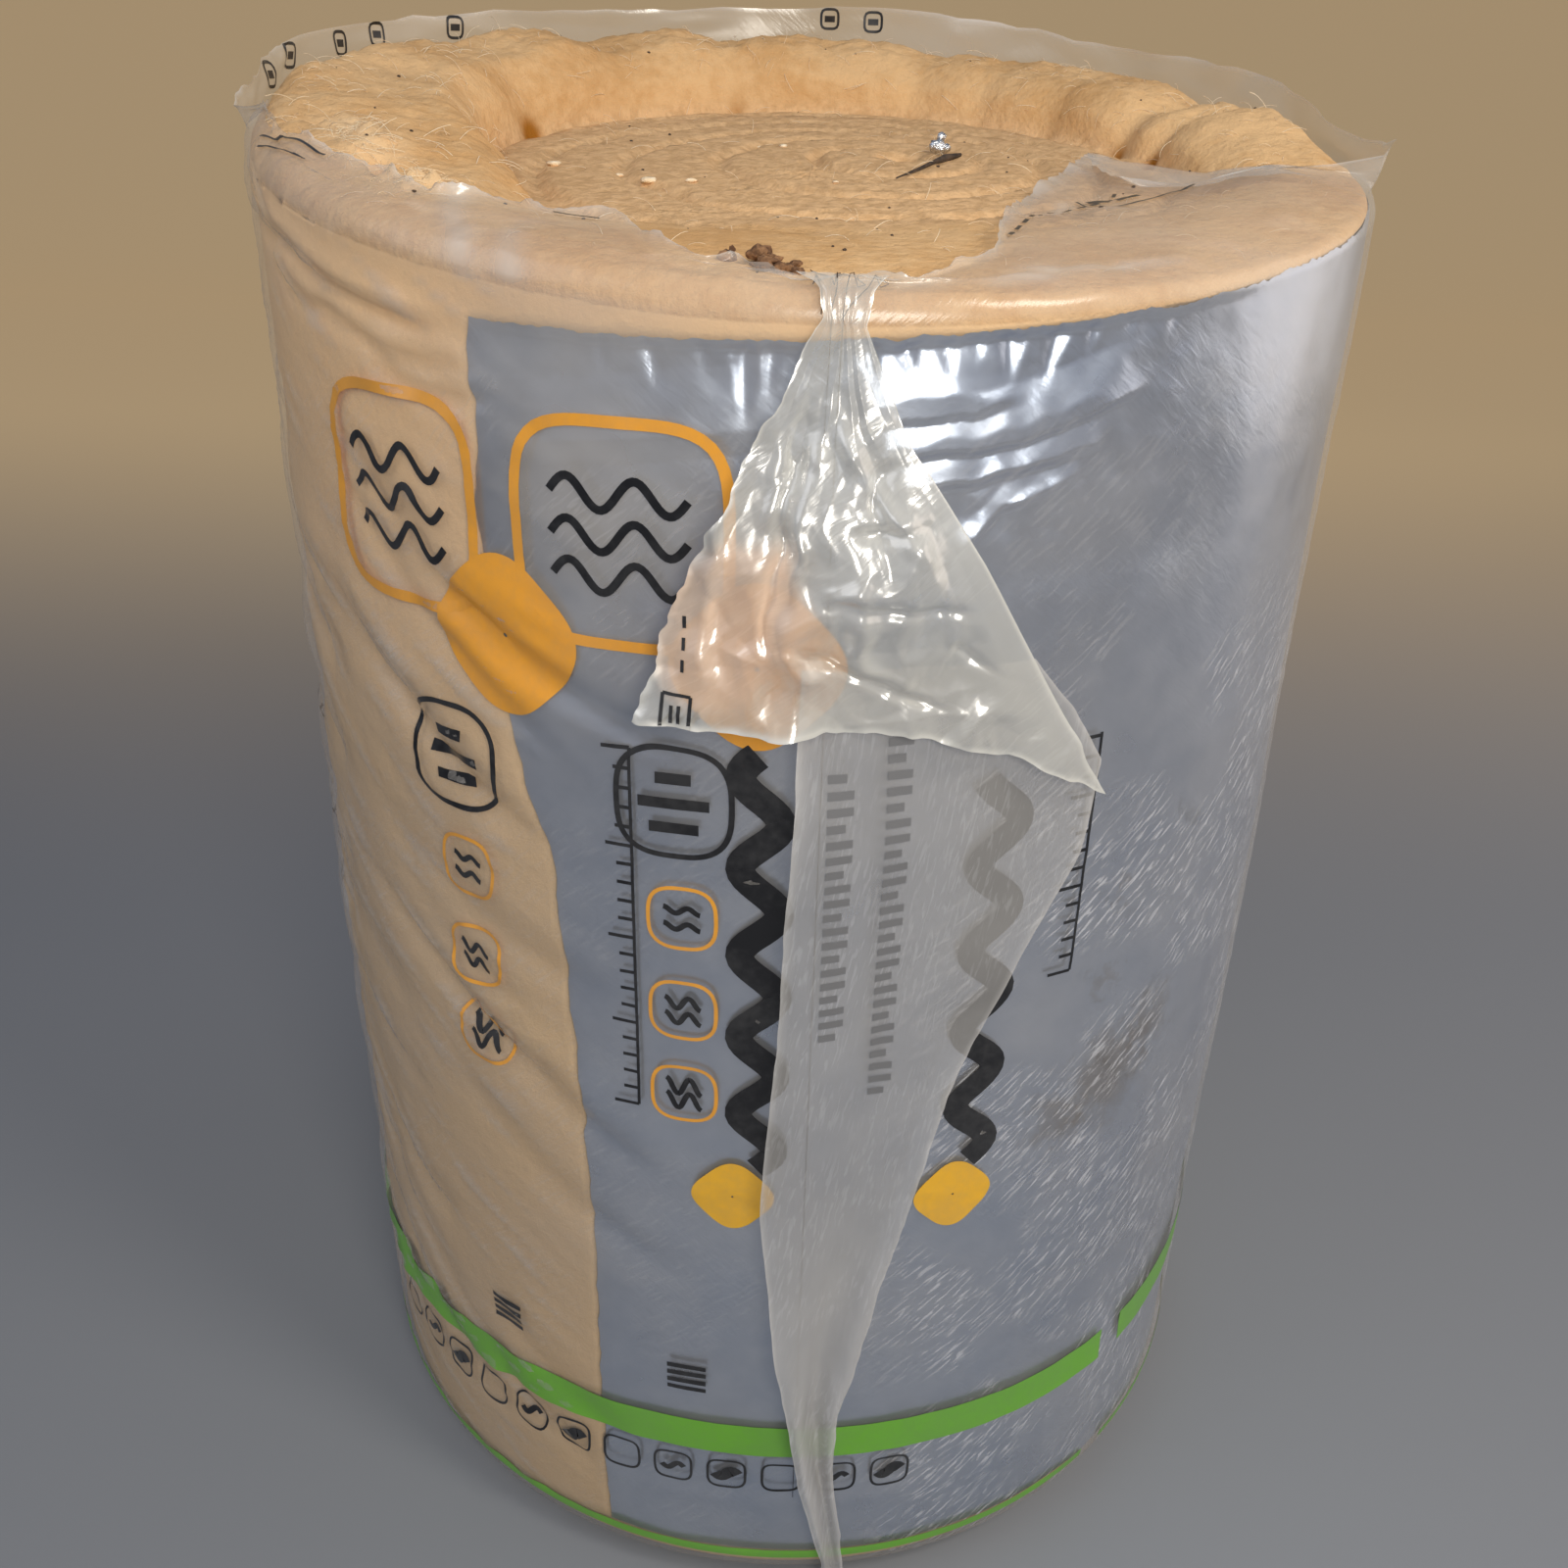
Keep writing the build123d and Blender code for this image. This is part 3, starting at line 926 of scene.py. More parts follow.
foil = {
    "columns": (270, 120),           # over the front, over the rest
    "rows": (110, 130),              # below, and in the creased band under the top edge
    "frontEnd": 62,
    "topBand": 0.11,
    "foot": 0.026,
    "outside": 0.0004,               # outside the wool's radius
    "pressed": (0.0002, 0.0018),     # how far the film presses it in, and more in the creased band
    "limits": (-0.0046, 0.0012),
    "crinkle": 0.0016,
    "ridgeWander": 0.0012,
    "crackSize": (0.0016, 0.0016),   # depth and half width
    "waviness": (0.0009, 0.00035),
    "topRagged": (0.0010, 0.0007),   # unevenness of the cut top edge, coarse and fine
    "tints": ((0.44, 0.515, 0.65, 1), (0.54, 0.605, 0.72, 1)),
    "ridges": [                      # (turn, height) along a buckle, its height, widths above and below
        ([(3.0, 0.5450), (7.0, 0.5485), (10.5, 0.5497), (18.5, 0.5545)], 0.0044, 0.0100, 0.0018),
        ([(4.0, 0.5340), (10.7, 0.5391), (17.0, 0.5412), (22.9, 0.5474), (30.5, 0.5560)],
         0.0042, 0.0090, 0.0018),
        ([(6.0, 0.5250), (14.0, 0.5297), (20.6, 0.5344), (27.0, 0.5400)], 0.0028, 0.0070, 0.0018),
        ([(12.0, 0.5030), (16.8, 0.5200), (20.9, 0.5251), (26.5, 0.5330)], 0.0020, 0.0045, 0.0014),
        ([(-24.0, 0.5335), (-9.1, 0.5409), (0.0, 0.5455)], 0.0016, 0.0110, 0.0040),
        ([(-9.0, 0.5225), (0.0, 0.5295)], 0.0013, 0.0080, 0.0030),
    ],
    "cracks": [                      # (turn, height) runs of small sharp creases low on the right
        ((30.0, 0.374), (38.0, 0.349)), ((29.5, 0.334), (38.5, 0.316)), ((41.0, 0.395), (47.0, 0.380)),
        ((34.0, 0.290), (42.0, 0.262)),
    ],
    "pleats": [                      # turn at the top edge, slant in degrees, length, half width, depth
        (-16.5, 0.2, 0.012, 0.0022, 0.0012), (-12.5, 1.0, 0.017, 0.0032, 0.0022),
        (-8.2, 0.3, 0.010, 0.0024, 0.0012), (-4.8, 0.2, 0.026, 0.0030, 0.0024),
        (-2.6, -0.3, 0.018, 0.0026, 0.0018), (4.6, 0.9, 0.015, 0.0026, 0.0024),
        (7.6, 0.9, 0.013, 0.0028, 0.0026), (10.7, 0.7, 0.012, 0.0024, 0.0022),
        (13.2, 0.5, 0.009, 0.0020, 0.0016), (16.3, 0.0, 0.017, 0.0034, 0.0028),
        (20.6, -1.4, 0.019, 0.0030, 0.0024), (23.8, -0.5, 0.010, 0.0024, 0.0018),
        (27.4, -0.5, 0.008, 0.0024, 0.0012), (32.0, -0.6, 0.009, 0.0028, 0.0010),
    ],
}


def foilArc(turn):
    # distance round the wool's surface from the front
    return np.radians(turn) * rollForm["woolRadius"]


def foilRelief(turn, z, top):
    u = foilArc(turn)
    down = np.maximum(top - z, 0)
    creased = smooth(down / 0.004) * smooth((0.10 - down) / 0.03)
    creased = creased * smooth((turn + 28) / 8) * smooth((44 - turn) / 10)
    pressed, morePressed = foil["pressed"]
    total = -pressed - morePressed * creased
    for points, height, above, below in foil["ridges"]:
        off = z - readTable(points, turn) + foil["ridgeWander"] * noise(u * 90, 0.5, 0, 61)
        shape = np.maximum(1 - np.where(off > 0, off / above, -off / below) / 1.8, 0)
        ends = smooth((turn - points[0][0]) / 2.5) * smooth((points[-1][0] - turn) / 7.0)
        total = total + height * shape * ends
    for place, slant, length, width, depth in foil["pleats"]:
        off = foilArc(turn - place - slant * down / length)
        left = np.clip(1 - down / length, 0, 1)
        left = left * (0.25 + 0.75 * smooth(down / 0.004))
        total = total - depth * left * np.maximum(1 - np.abs(off) / (width * (0.5 + 1.3 * left)), 0)
    cracks = [(foilArc(turnA), heightA, foilArc(turnB), heightB, *foil["crackSize"])
              for (turnA, heightA), (turnB, heightB) in foil["cracks"]]
    total = total + lineFolds(u, z, cracks, 0.003)
    front = smooth((turn + 22) / 10) * smooth((48 - turn) / 22)
    crackle = sharpFolds(u * 60, z * 60, 6, 64)
    near = bell(turn - 19, 9) * bell(z - 0.522, 0.016)
    crinkled = 0.30 * np.exp(-down / 0.05) * front + 0.75 * near + 0.06
    total = total + foil["crinkle"] * crackle * crinkled
    broad, fine = foil["waviness"]
    total = total + broad * noise(u * 9, z * 9, 0, 65) + fine * noise(u * 40, z * 16, 0, 66)
    return np.clip(total, *foil["limits"])


def makeFoil(material):
    share, level = (
        np.concatenate([np.linspace(0, 1, first, endpoint=False), np.linspace(1, 2, second)])
        for first, second in (foil["columns"], foil["rows"]))
    share, level = share[None, :], level[:, None]
    front, foot = foil["frontEnd"], foil["foot"]
    coarse, fine = foil["topRagged"]
    height = foot + (0.60 - foot) * level / 2 + 0 * share
    for _ in range(3):
        start = stripEndTurn(height)
        rest = front + (wool["foilEnd"] - front) * (share - 1)
        turn = np.where(share <= 1, start + (front - start) * share, rest)
        top = planeHeight("foilTop", *around(turn, rollForm["woolRadius"]))
        u = foilArc(turn)
        top = top + coarse * noise(u * 120, 0.5, 0, 71) + fine * noise(u * 420, 0.5, 0, 72)
        split = top - foil["topBand"]
        height = np.where(level <= 1, foot + (split - foot) * level, split + (top - split) * (level - 1))
    stand = foil["outside"] + foilRelief(turn, height, top)
    points = onSide("woolRadius", turnGap(turn, 0), height, stand)
    mesh = gridMesh("foilFacing", points, np.stack([u, height], axis=-1))
    settle(addPiece("foilFacing", mesh, material), "foil", "foil_facing")


smudges = {
    "spots": [                       # place on the unrolled foil, size, strength
        ((0.142, 0.273), 0.034, 0.55), ((0.116, 0.260), 0.020, 0.38), ((0.166, 0.288), 0.022, 0.42),
        ((0.133, 0.362), 0.007, 0.30), ((0.133, 0.325), 0.007, 0.26),
    ],
    "ragged": 60.0,
    "uneven": 0.05,
    "most": 0.7,
    "tint": (0.24, 0.19, 0.15, 1),
}


def smudgeMask(tree, flat):
    u, v, _ = axesOf(tree, flat)
    uneven = (noiseWire(tree, flat, smudges["ragged"], 3, 0.7) - 0.5) * smudges["uneven"]
    total = None
    for (cu, cv), size, strength in smudges["spots"]:
        reach = mathNode(tree, "SQRT", (u - cu) * (u - cu) + (v - cv) * (v - cv)) + uneven
        spot = ramp(reach, size * 0.2, size, strength, 0.0)
        total = spot if total is None else total + spot
    return mathNode(tree, "MINIMUM", total, smudges["most"])


def makeFoilMaterial():
    material, tree, shader = newMaterial("creasedFoil", {"Metallic": 0.88})
    flat = sheetPlace(tree)
    tint = tintWires(tree, flat, *foil["tints"], 7.0, 60.0)
    scuffs = groupWires(tree, scuffGroup, {
        "Where": turned(tree, flat, 38), "Scale": 120.0, "Stretch": 3.5, "Patch": 16.0})
    smudge = smudgeMask(tree, flat)
    plug(tree, shader.inputs["Base Color"], mixColour(tree, smudge, tint["Colour"], smudges["tint"]))
    plug(tree, shader.inputs["Roughness"], tint["Mask"] * 0.10 + 0.27 + smudge * 0.3)
    bumpInto(tree, shader, scuffs["Height"], 0.10, 0.0014)
    return material


# Film sleeve: tucked under the base, folded in over the front, standing as a collar behind

sleeve = {
    "columnRuns": [(-180, -96, 26), (-96, -20, 140), (-20, 64, 108), (64, 84, 62), (84, 180, 34)],
    "sideRows": 196,
    "roundRows": 7,
    "foldRows": 34,
    "tuckRadius": 0.173,
    "foot": 0.0003,
    "clear": 0.0022,
    "ripple": 0.0022,
    "foldEnds": (-79.0, 81.0),
    "foldEdge": [                    # turn at the rim, and where its line ends at the torn edge
        (-79, -0.213, -0.045), (-74, -0.203, -0.067), (-65, -0.186, -0.098), (-54, -0.160, -0.117),
        (-49, -0.144, -0.127), (-44, -0.133, -0.140), (-38, -0.117, -0.154), (-34, -0.106, -0.149),
        (-30, -0.092, -0.155), (-26, -0.080, -0.161), (-22, -0.064, -0.150), (-18, -0.053, -0.172),
        (-13, -0.043, -0.194), (-10, -0.035, -0.205), (-8, -0.028, -0.209), (-6.5, -0.022, -0.200),
        (-4, -0.016, -0.211), (-1, -0.004, -0.216), (5, 0.020, -0.214), (9, 0.033, -0.210),
        (13, 0.045, -0.196), (18, 0.057, -0.175), (22, 0.062, -0.145), (28, 0.068, -0.110),
        (36, 0.076, -0.077), (46, 0.087, -0.045), (58, 0.104, -0.004), (73, 0.122, 0.042),
        (75, 0.119, 0.005), (77, 0.119, -0.031), (78.5, 0.138, -0.026), (79.6, 0.160, -0.020),
        (80.3, 0.182, -0.032), (80.8, 0.202, -0.036), (81, 0.217, -0.034),
    ],
    "collarTop": [                   # turn and height of the collar's torn edge
        (-279, 0.6165), (-270, 0.6185), (-264, 0.621), (-257, 0.631), (-249, 0.638), (-241, 0.644),
        (-227, 0.648), (-203, 0.662), (-189, 0.667), (-162, 0.664), (-134, 0.660), (-118, 0.654),
        (-107, 0.650), (-98, 0.6455), (-88, 0.635), (-84, 0.628), (-79, 0.6205),
    ],
    "ear": (82, 2.4, 0.003, 0.0070),   # the collar's right corner: turn, half width, rise, lean outwards
    "leftCorner": (-82, 3, 0.003),   # turn, half width, lean outwards
    "collarOut": 0.0012,
    "collarWaves": (0.0035, 0.0022),
    "seam": (45.0, 0.5, 0.0006),     # turn, half width, depth
    "lowCrease": (0.064, 0.006, 0.0014),   # height, half width, how far it stands out
    "slanted": (0.0003, 0.0010),     # height of the fine slanting creases, and more on the left
    "levelWaves": 0.00030,
    "puckers": 0.0016,               # height of the gathers over the front of the rim
    "wrinkles": 0.0010,
    "curl": (0.0038, 0.0018),        # how far the torn edge curls up, in long and in short waves
    "taut": 0.0008,                  # how far the ruled film may sink between the rim and its edge
    "milk": 0.17,                    # share of the light that the plain film stops
    "foldMilk": 0.10,
    "collarMilk": 0.12,
    "edgeMilk": 0.45,
    "veilMilk": 0.22,                # in the hazy patch up the front
    "veil": (-17, 12),               # its turn and half width
    "ridgeMilk": 0.20,
    "streakHighlightMilk": 0.42,
    "streaks": [                     # plan places of the painted highlights along creases in the folded film, and half width
        ((-0.114, -0.147), (-0.104, -0.200), 0.0045), ((-0.086, -0.172), (-0.089, -0.214), 0.0050),
        ((-0.052, -0.182), (-0.020, -0.203), 0.0026), ((0.060, -0.196), (0.120, -0.172), 0.0028),
        ((0.020, -0.212), (0.075, -0.198), 0.0024), ((0.084, -0.100), (0.096, -0.070), 0.0030),
    ],
}


def ragged(turn, seed, fine=0.0020, coarse=0.0032):
    x, y = around(turn, 1.0)
    return coarse * noise(x * 11, y * 11, 0, seed) + fine * noise(x * 47, y * 47, 0, seed + 1)


def makeSleeveGrid():
    turn = columnTurns(sleeve["columnRuns"])
    radius = rollForm["filmRadius"]
    edge = roundAt(turn) + rollForm["filmStep"]
    base = rollForm["baseRound"] + rollForm["filmStep"]
    quarter = np.linspace(0, np.pi / 2, sleeve["roundRows"])[:, None]
    tuck = np.linspace(sleeve["tuckRadius"], radius - base, 6)[:-1, None] + 0 * turn
    cornerR = radius - base + base * np.sin(quarter) + 0 * turn
    cornerZ = sleeve["foot"] + base * (1 - np.cos(quarter)) + 0 * turn
    shoulder = shoulderHeight(turn)
    sideZ = base + (shoulder - base) * np.linspace(0, 1, sleeve["sideRows"] + 1)[1:, None]
    u = arcOf(turn)
    left = smooth((-18 - turn) / 12) * smooth((turn + 130) / 30)
    everywhere, onLeft = sleeve["slanted"]
    slanted = noise((u * 0.55 + sideZ) * 150, (u - sideZ * 0.5) * 22, 0, 81)
    slanted = slanted * (onLeft * left + everywhere)
    level = noise(u * 20, sideZ * 130, 0, 82) * sleeve["levelWaves"]
    seamTurn, seamWidth, seamDepth = sleeve["seam"]
    seam = seamDepth * bell(turn - seamTurn, seamWidth)
    creaseZ, creaseWidth, creaseOut = sleeve["lowCrease"]
    crease = creaseOut * bell(sideZ - creaseZ - 0.004 * noise(u * 9, 0.4, 0, 83), creaseWidth)
    crease = crease * smooth((turn + 60) / 20) * smooth((40 - turn) / 20)
    away = smooth((shoulder - sideZ) / 0.02) * smooth(sideZ / 0.04)
    sideR = radius + sideRelief(turn, sideZ) * smooth(sideZ / 0.06)
    sideR = sideR + (slanted + level + crease - seam) * away
    tuckedR = np.concatenate([tuck, cornerR])
    tuckedZ = np.concatenate([sleeve["foot"] + 0 * tuck, cornerZ])
    tucked = np.stack([*around(turn, tuckedR), tuckedZ], axis=-1)
    side = np.stack([*around(turn, sideR), sideZ], axis=-1)
    folded = foldedIn(turn, shoulder, edge, quarter, sideR[-1:])
    standing = standingUp(turn, shoulder, folded.shape[0], sideR[-1:])
    first, last = sleeve["foldEnds"]
    inFront = smooth((turn - first) / 1.6 + 0.5) * smooth((last - turn) / 0.9 + 0.5)
    upper = standing + (folded - standing) * inFront[..., None]
    points = np.concatenate([tucked, side, upper])
    v = pathLength(points)
    v = v - v[len(tucked):len(tucked) + 1] + sideZ[:1]
    uv = np.stack([arcOf(closedUp(turn, 360)) + 0 * v[:, :1], closedUp(v)], axis=-1)
    onTop, toEdge, ridge = np.zeros((3, *points.shape[:2]))
    onTop[-len(upper):] = 1
    toEdge[-6:] = np.linspace(0, 1, 6)[:, None]
    ridge[len(tucked):len(tucked) + len(sideZ)] = smooth(slanted / 0.0006 - 0.25) * left
    return points, uv, sleeveMilk(points, turn, onTop, inFront, toEdge, ridge)


def sleeveMilk(points, turn, onTop, inFront, toEdge, ridge):
    # how milky the film is, from its haze, its creases and its torn edge, with painted highlights along
    # creases in the folded film
    x, y, z = (points[..., axis] for axis in range(3))
    haze = 0.5 + 0.5 * layeredNoise(x * 16, y * 16, z * 16, 3, 84)
    veilTurn, veilWidth = sleeve["veil"]
    veil = bell(turn - veilTurn, veilWidth) * smooth((z - 0.40) / 0.12) * (1 - onTop)
    milk = (sleeve["milk"] + sleeve["veilMilk"] * veil) * (0.6 + 0.8 * haze)
    milk = milk + sleeve["foldMilk"] * onTop * inFront * (0.7 + 0.6 * haze)
    milk = milk + sleeve["collarMilk"] * onTop * (1 - inFront) * (0.7 + 0.6 * haze)
    milk = milk + sleeve["ridgeMilk"] * ridge + sleeve["edgeMilk"] * toEdge ** 2 * (0.4 + 0.6 * haze)
    # painted highlights: pale streaks where creases of the folded film catch the light
    for start, end, width in sleeve["streaks"]:
        along, off = alongLine(x, y, start, end)
        ends = smooth(along / 0.3 + 0.3) * smooth((1 - along) / 0.3 + 0.3)
        line = bell(off + 0.002 * np.sin(along * 4), width)
        milk = milk + sleeve["streakHighlightMilk"] * ends * line * onTop * haze
    return np.clip(milk, 0, 1)


def foldedIn(turn, shoulder, edge, quarter, startRadius):
    # over the rim's rounding, then ruled in to the torn edge, lying on the wool
    turns, xs, ys = (np.array(column) for column in zip(*sleeve["foldEdge"]))
    inner = startRadius - edge
    rise = np.sin(quarter[1:])
    slope = rimSlope(turn, edge * (1 - np.cos(quarter[1:])))
    puckers = sleeve["puckers"] * np.abs(sharpFolds(arcOf(turn) * 34, 0.3, 5, 97))
    overZ = shoulder + edge * rise + slope + puckers * rise ** 2
    over = np.stack([*around(turn, inner + edge * np.cos(quarter[1:])), overZ], axis=-1)
    startX, startY = around(turn, inner)
    endX, endY = np.interp(turn, turns, xs), np.interp(turn, turns, ys)
    reach = np.maximum(np.hypot(endX - startX, endY - startY), 1e-4)
    uneven = ragged(turn, 91)
    endX = endX + (endX - startX) / reach * uneven
    endY = endY + (endY - startY) / reach * uneven
    share = np.linspace(0, 1, sleeve["foldRows"] + 1)[1:, None]
    x, y = startX + (endX - startX) * share, startY + (endY - startY) * share
    r, at = np.hypot(x, y), np.degrees(np.arctan2(x, -y))
    rest = topHeight(at, np.minimum(r, rollForm["woolRadius"])) + sleeve["clear"]
    startZ = over[-1:, :, 2] - puckers
    taut = startZ + (rest[-1:] - startZ) * share
    folds = sleeve["ripple"] * np.abs(noise(x * 38, y * 38, 0, 93))
    folds = folds + sleeve["wrinkles"] * (0.5 + sharpFolds(x * 26, y * 26, 5, 94))
    longCurl, shortCurl = sleeve["curl"]
    curl = longCurl * smooth((share - 0.86) / 0.14) * np.clip(noise(turn / 3.2, 0.4, 0, 95) + 0.25, 0, 1)
    curl = curl + shortCurl * smooth((share - 0.8) / 0.2) * np.abs(noise(turn / 1.1, share * 6, 0, 96))
    z = np.maximum(rest, taut - sleeve["taut"]) + folds * smooth(share / 0.12) + curl
    z = z + puckers * (1 - smooth(share / 0.3))
    return np.concatenate([over, np.stack([x, y, z], axis=-1)])


def standingUp(turn, shoulder, rows, startRadius):
    # on past the rim, a little outwards, to the collar's ragged edge
    wrapped = np.where(turn > sleeve["foldEnds"][0] + 0.5, turn - 360, turn)
    earTurn, earWidth, earRise, earLean = sleeve["ear"]
    ear = bell(turnGap(turn, earTurn), earWidth)
    top = readTable(sleeve["collarTop"], wrapped) + ragged(turn, 101, 0.0014, 0.0016) + earRise * ear
    share = np.linspace(0, 1, rows + 1)[1:, None]
    z = shoulder + (top - shoulder) * share
    coarse, fine = sleeve["collarWaves"]
    lean = coarse * noise(turn / 7, share * 1.2, 0, 103) + fine * noise(turn / 2.2, share * 2.5, 0, 104)
    r = startRadius + sleeve["collarOut"] + lean * share + earLean * ear * share ** 1.5
    leftTurn, leftWidth, leftLean = sleeve["leftCorner"]
    r = r + leftLean * bell(turnGap(turn, leftTurn), leftWidth) * share
    return np.stack([*around(turn, r), z + 0 * r], axis=-1)


def declareSheet(piece, uv):
    # the cut is as large as the creased film's own area
    area = sum(face.area for face in piece.data.polygons)
    width, length = (float(np.ptp(uv[..., axis])) for axis in range(2))
    grow = max(1.0, math.sqrt(area / (width * length)))
    sides = [round(side * grow, 3) for side in (width, length)]
    print("sheet", piece.name, *sides, "m, area", round(area, 4))


def makeSleeve(material):
    points, uv, milk = makeSleeveGrid()
    mesh = gridMesh("filmSleeve", points, uv, closed=True)
    turn, height = np.degrees(np.arctan2(points[..., 0], -points[..., 1])), points[..., 2]
    # scuffed film with painted glints, mostly low on the right
    wornAndGlinting = smooth((turn - 6) / 14) * smooth((100 - turn) / 20) * smooth((0.50 - height) / 0.08)
    addAttributes(mesh, milk=milk, rubbed=smooth((0.57 - height) / 0.03) * (0.16 + 0.84 * wornAndGlinting))
    piece = addPiece("filmSleeve", mesh, material)
    settle(piece, "film", "film_wrap")
    declareSheet(piece, uv)
    return piece


# Flap: torn from the front and hanging from a gathered waist, with a plain tail below

flap = {
    "rows": 230,
    "columns": 150,
    "left": [                        # distance up the film from the floor, and turn
        (0.589, -1.0), (0.583, 0.6), (0.577, 1.0), (0.560, -1.2), (0.537, -4.3), (0.520, -6.2),
        (0.496, -9.6), (0.474, -11.3), (0.453, -12.6),
    ],
    "right": [
        (0.589, 6.4), (0.583, 5.0), (0.575, 4.4), (0.543, 7.9), (0.507, 13.9), (0.466, 20.0),
        (0.440, 24.0), (0.421, 26.8),
    ],
    "bulge": (0.0022, 0.0100),       # how far it stands off the film at the waist, and more below
    "nearest": 0.0016,
    "large": 0.0085,                 # heights of its crumples
    "medium": 0.0022,
    "facet": 0.0034,
    "fan": 0.0022,                   # gathers that spread from the waist
    "sag": (0.013, 0.0012),          # how the lower edge bows in the middle, and its raggedness
    "sideways": (0.0022, 0.0016),
    "milk": {"base": 0.36, "cloud": 0.16, "slope": 0.20, "calm": 0.10, "tinted": 0.26, "edge": 0.5},
    "rubbed": 0.5,
    "folds": [                       # (turn, height) to (turn, height), depth, width
        ((0.6, 0.556), (-0.4, 0.537), 0.0030, 0.0026), ((-0.3, 0.540), (-1.4, 0.512), 0.0042, 0.0030),
        ((-1.3, 0.516), (-2.0, 0.480), 0.0042, 0.0030), ((0.4, 0.480), (10.9, 0.459), 0.0024, 0.0018),
        ((12.6, 0.479), (18.1, 0.467), 0.0020, 0.0016), ((-1.2, 0.481), (1.3, 0.470), -0.0030, 0.0035),
        ((2.4, 0.549), (9.0, 0.512), -0.0028, 0.0030), ((3.4, 0.540), (5.4, 0.470), -0.0022, 0.0034),
        ((8.8, 0.530), (15.5, 0.487), -0.0024, 0.0028), ((-5.5, 0.528), (-7.5, 0.470), -0.0024, 0.0032),
        ((2.6, 0.497), (15.6, 0.492), 0.0028, 0.0026), ((4.0, 0.517), (10.5, 0.521), 0.0022, 0.0022),
    ],
    "tintSpots": [((-4.6, 0.492), 0.025), ((-6.6, 0.476), 0.021)],
}

tail = {
    "rows": 210,
    "columns": 48,
    "left": [
        (0.470, 0.6), (0.373, -0.5), (0.286, -1.5), (0.246, -2.0), (0.171, -0.5), (0.092, 2.5),
        (0.030, 5.4), (0.008, 5.6),
    ],
    "right": [
        (0.470, 20.0), (0.450, 24.4), (0.428, 27.8), (0.394, 26.7), (0.364, 23.0), (0.329, 18.9),
        (0.294, 15.7), (0.233, 12.4), (0.175, 8.6), (0.130, 6.2), (0.092, 6.2), (0.030, 7.7),
        (0.008, 8.2),
    ],
    "stand": 0.0034,
    "nearest": 0.0014,
    "edgeStand": (0.0110, 0.003),    # how much further its left and its right edge stand off the film
    "narrowAt": 0.80,
    "folds": 0.0030,
    "soft": 0.0022,
    "crumple": 0.0008,
    "milk": {"base": 0.33, "cloud": 0.16, "narrow": 0.12, "low": 0.24, "edge": 0.3},
    "rubbed": 0.6,
}


def hangingStrip(strip):
    # shares across and down a strip, and its height and turn everywhere between its two edges
    rows, edges = strip["rows"], []
    for side in ("left", "right"):
        heights, turns = (np.array(column) for column in zip(*strip[side]))
        steps = stepsAlong(np.diff(heights), arcOf(np.diff(turns)))
        share = np.linspace(0, steps[-1], rows)
        edges += [np.interp(share, steps, values)[:, None] for values in (heights, turns)]
    leftZ, leftTurn, rightZ, rightTurn = edges
    across = np.linspace(0, 1, strip["columns"])[None, :]
    down = np.linspace(0, 1, rows)[:, None]
    return across, down, leftZ + (rightZ - leftZ) * across, leftTurn + (rightTurn - leftTurn) * across


def finishStrip(name, points, uv, material, restsOn, **fields):
    mesh = gridMesh(name, points, uv)
    addAttributes(mesh, **fields)
    piece = addPiece(name, mesh, material)
    settle(piece, "film")
    declareSheet(piece, uv)
    return piece


def edgeLine(across, down, width=0.012):
    # 1 at a sheet's side and lower edges, where the film is seen end on
    return np.maximum(np.maximum(bell(across, width), bell(1 - across, width)), bell(1 - down, width))


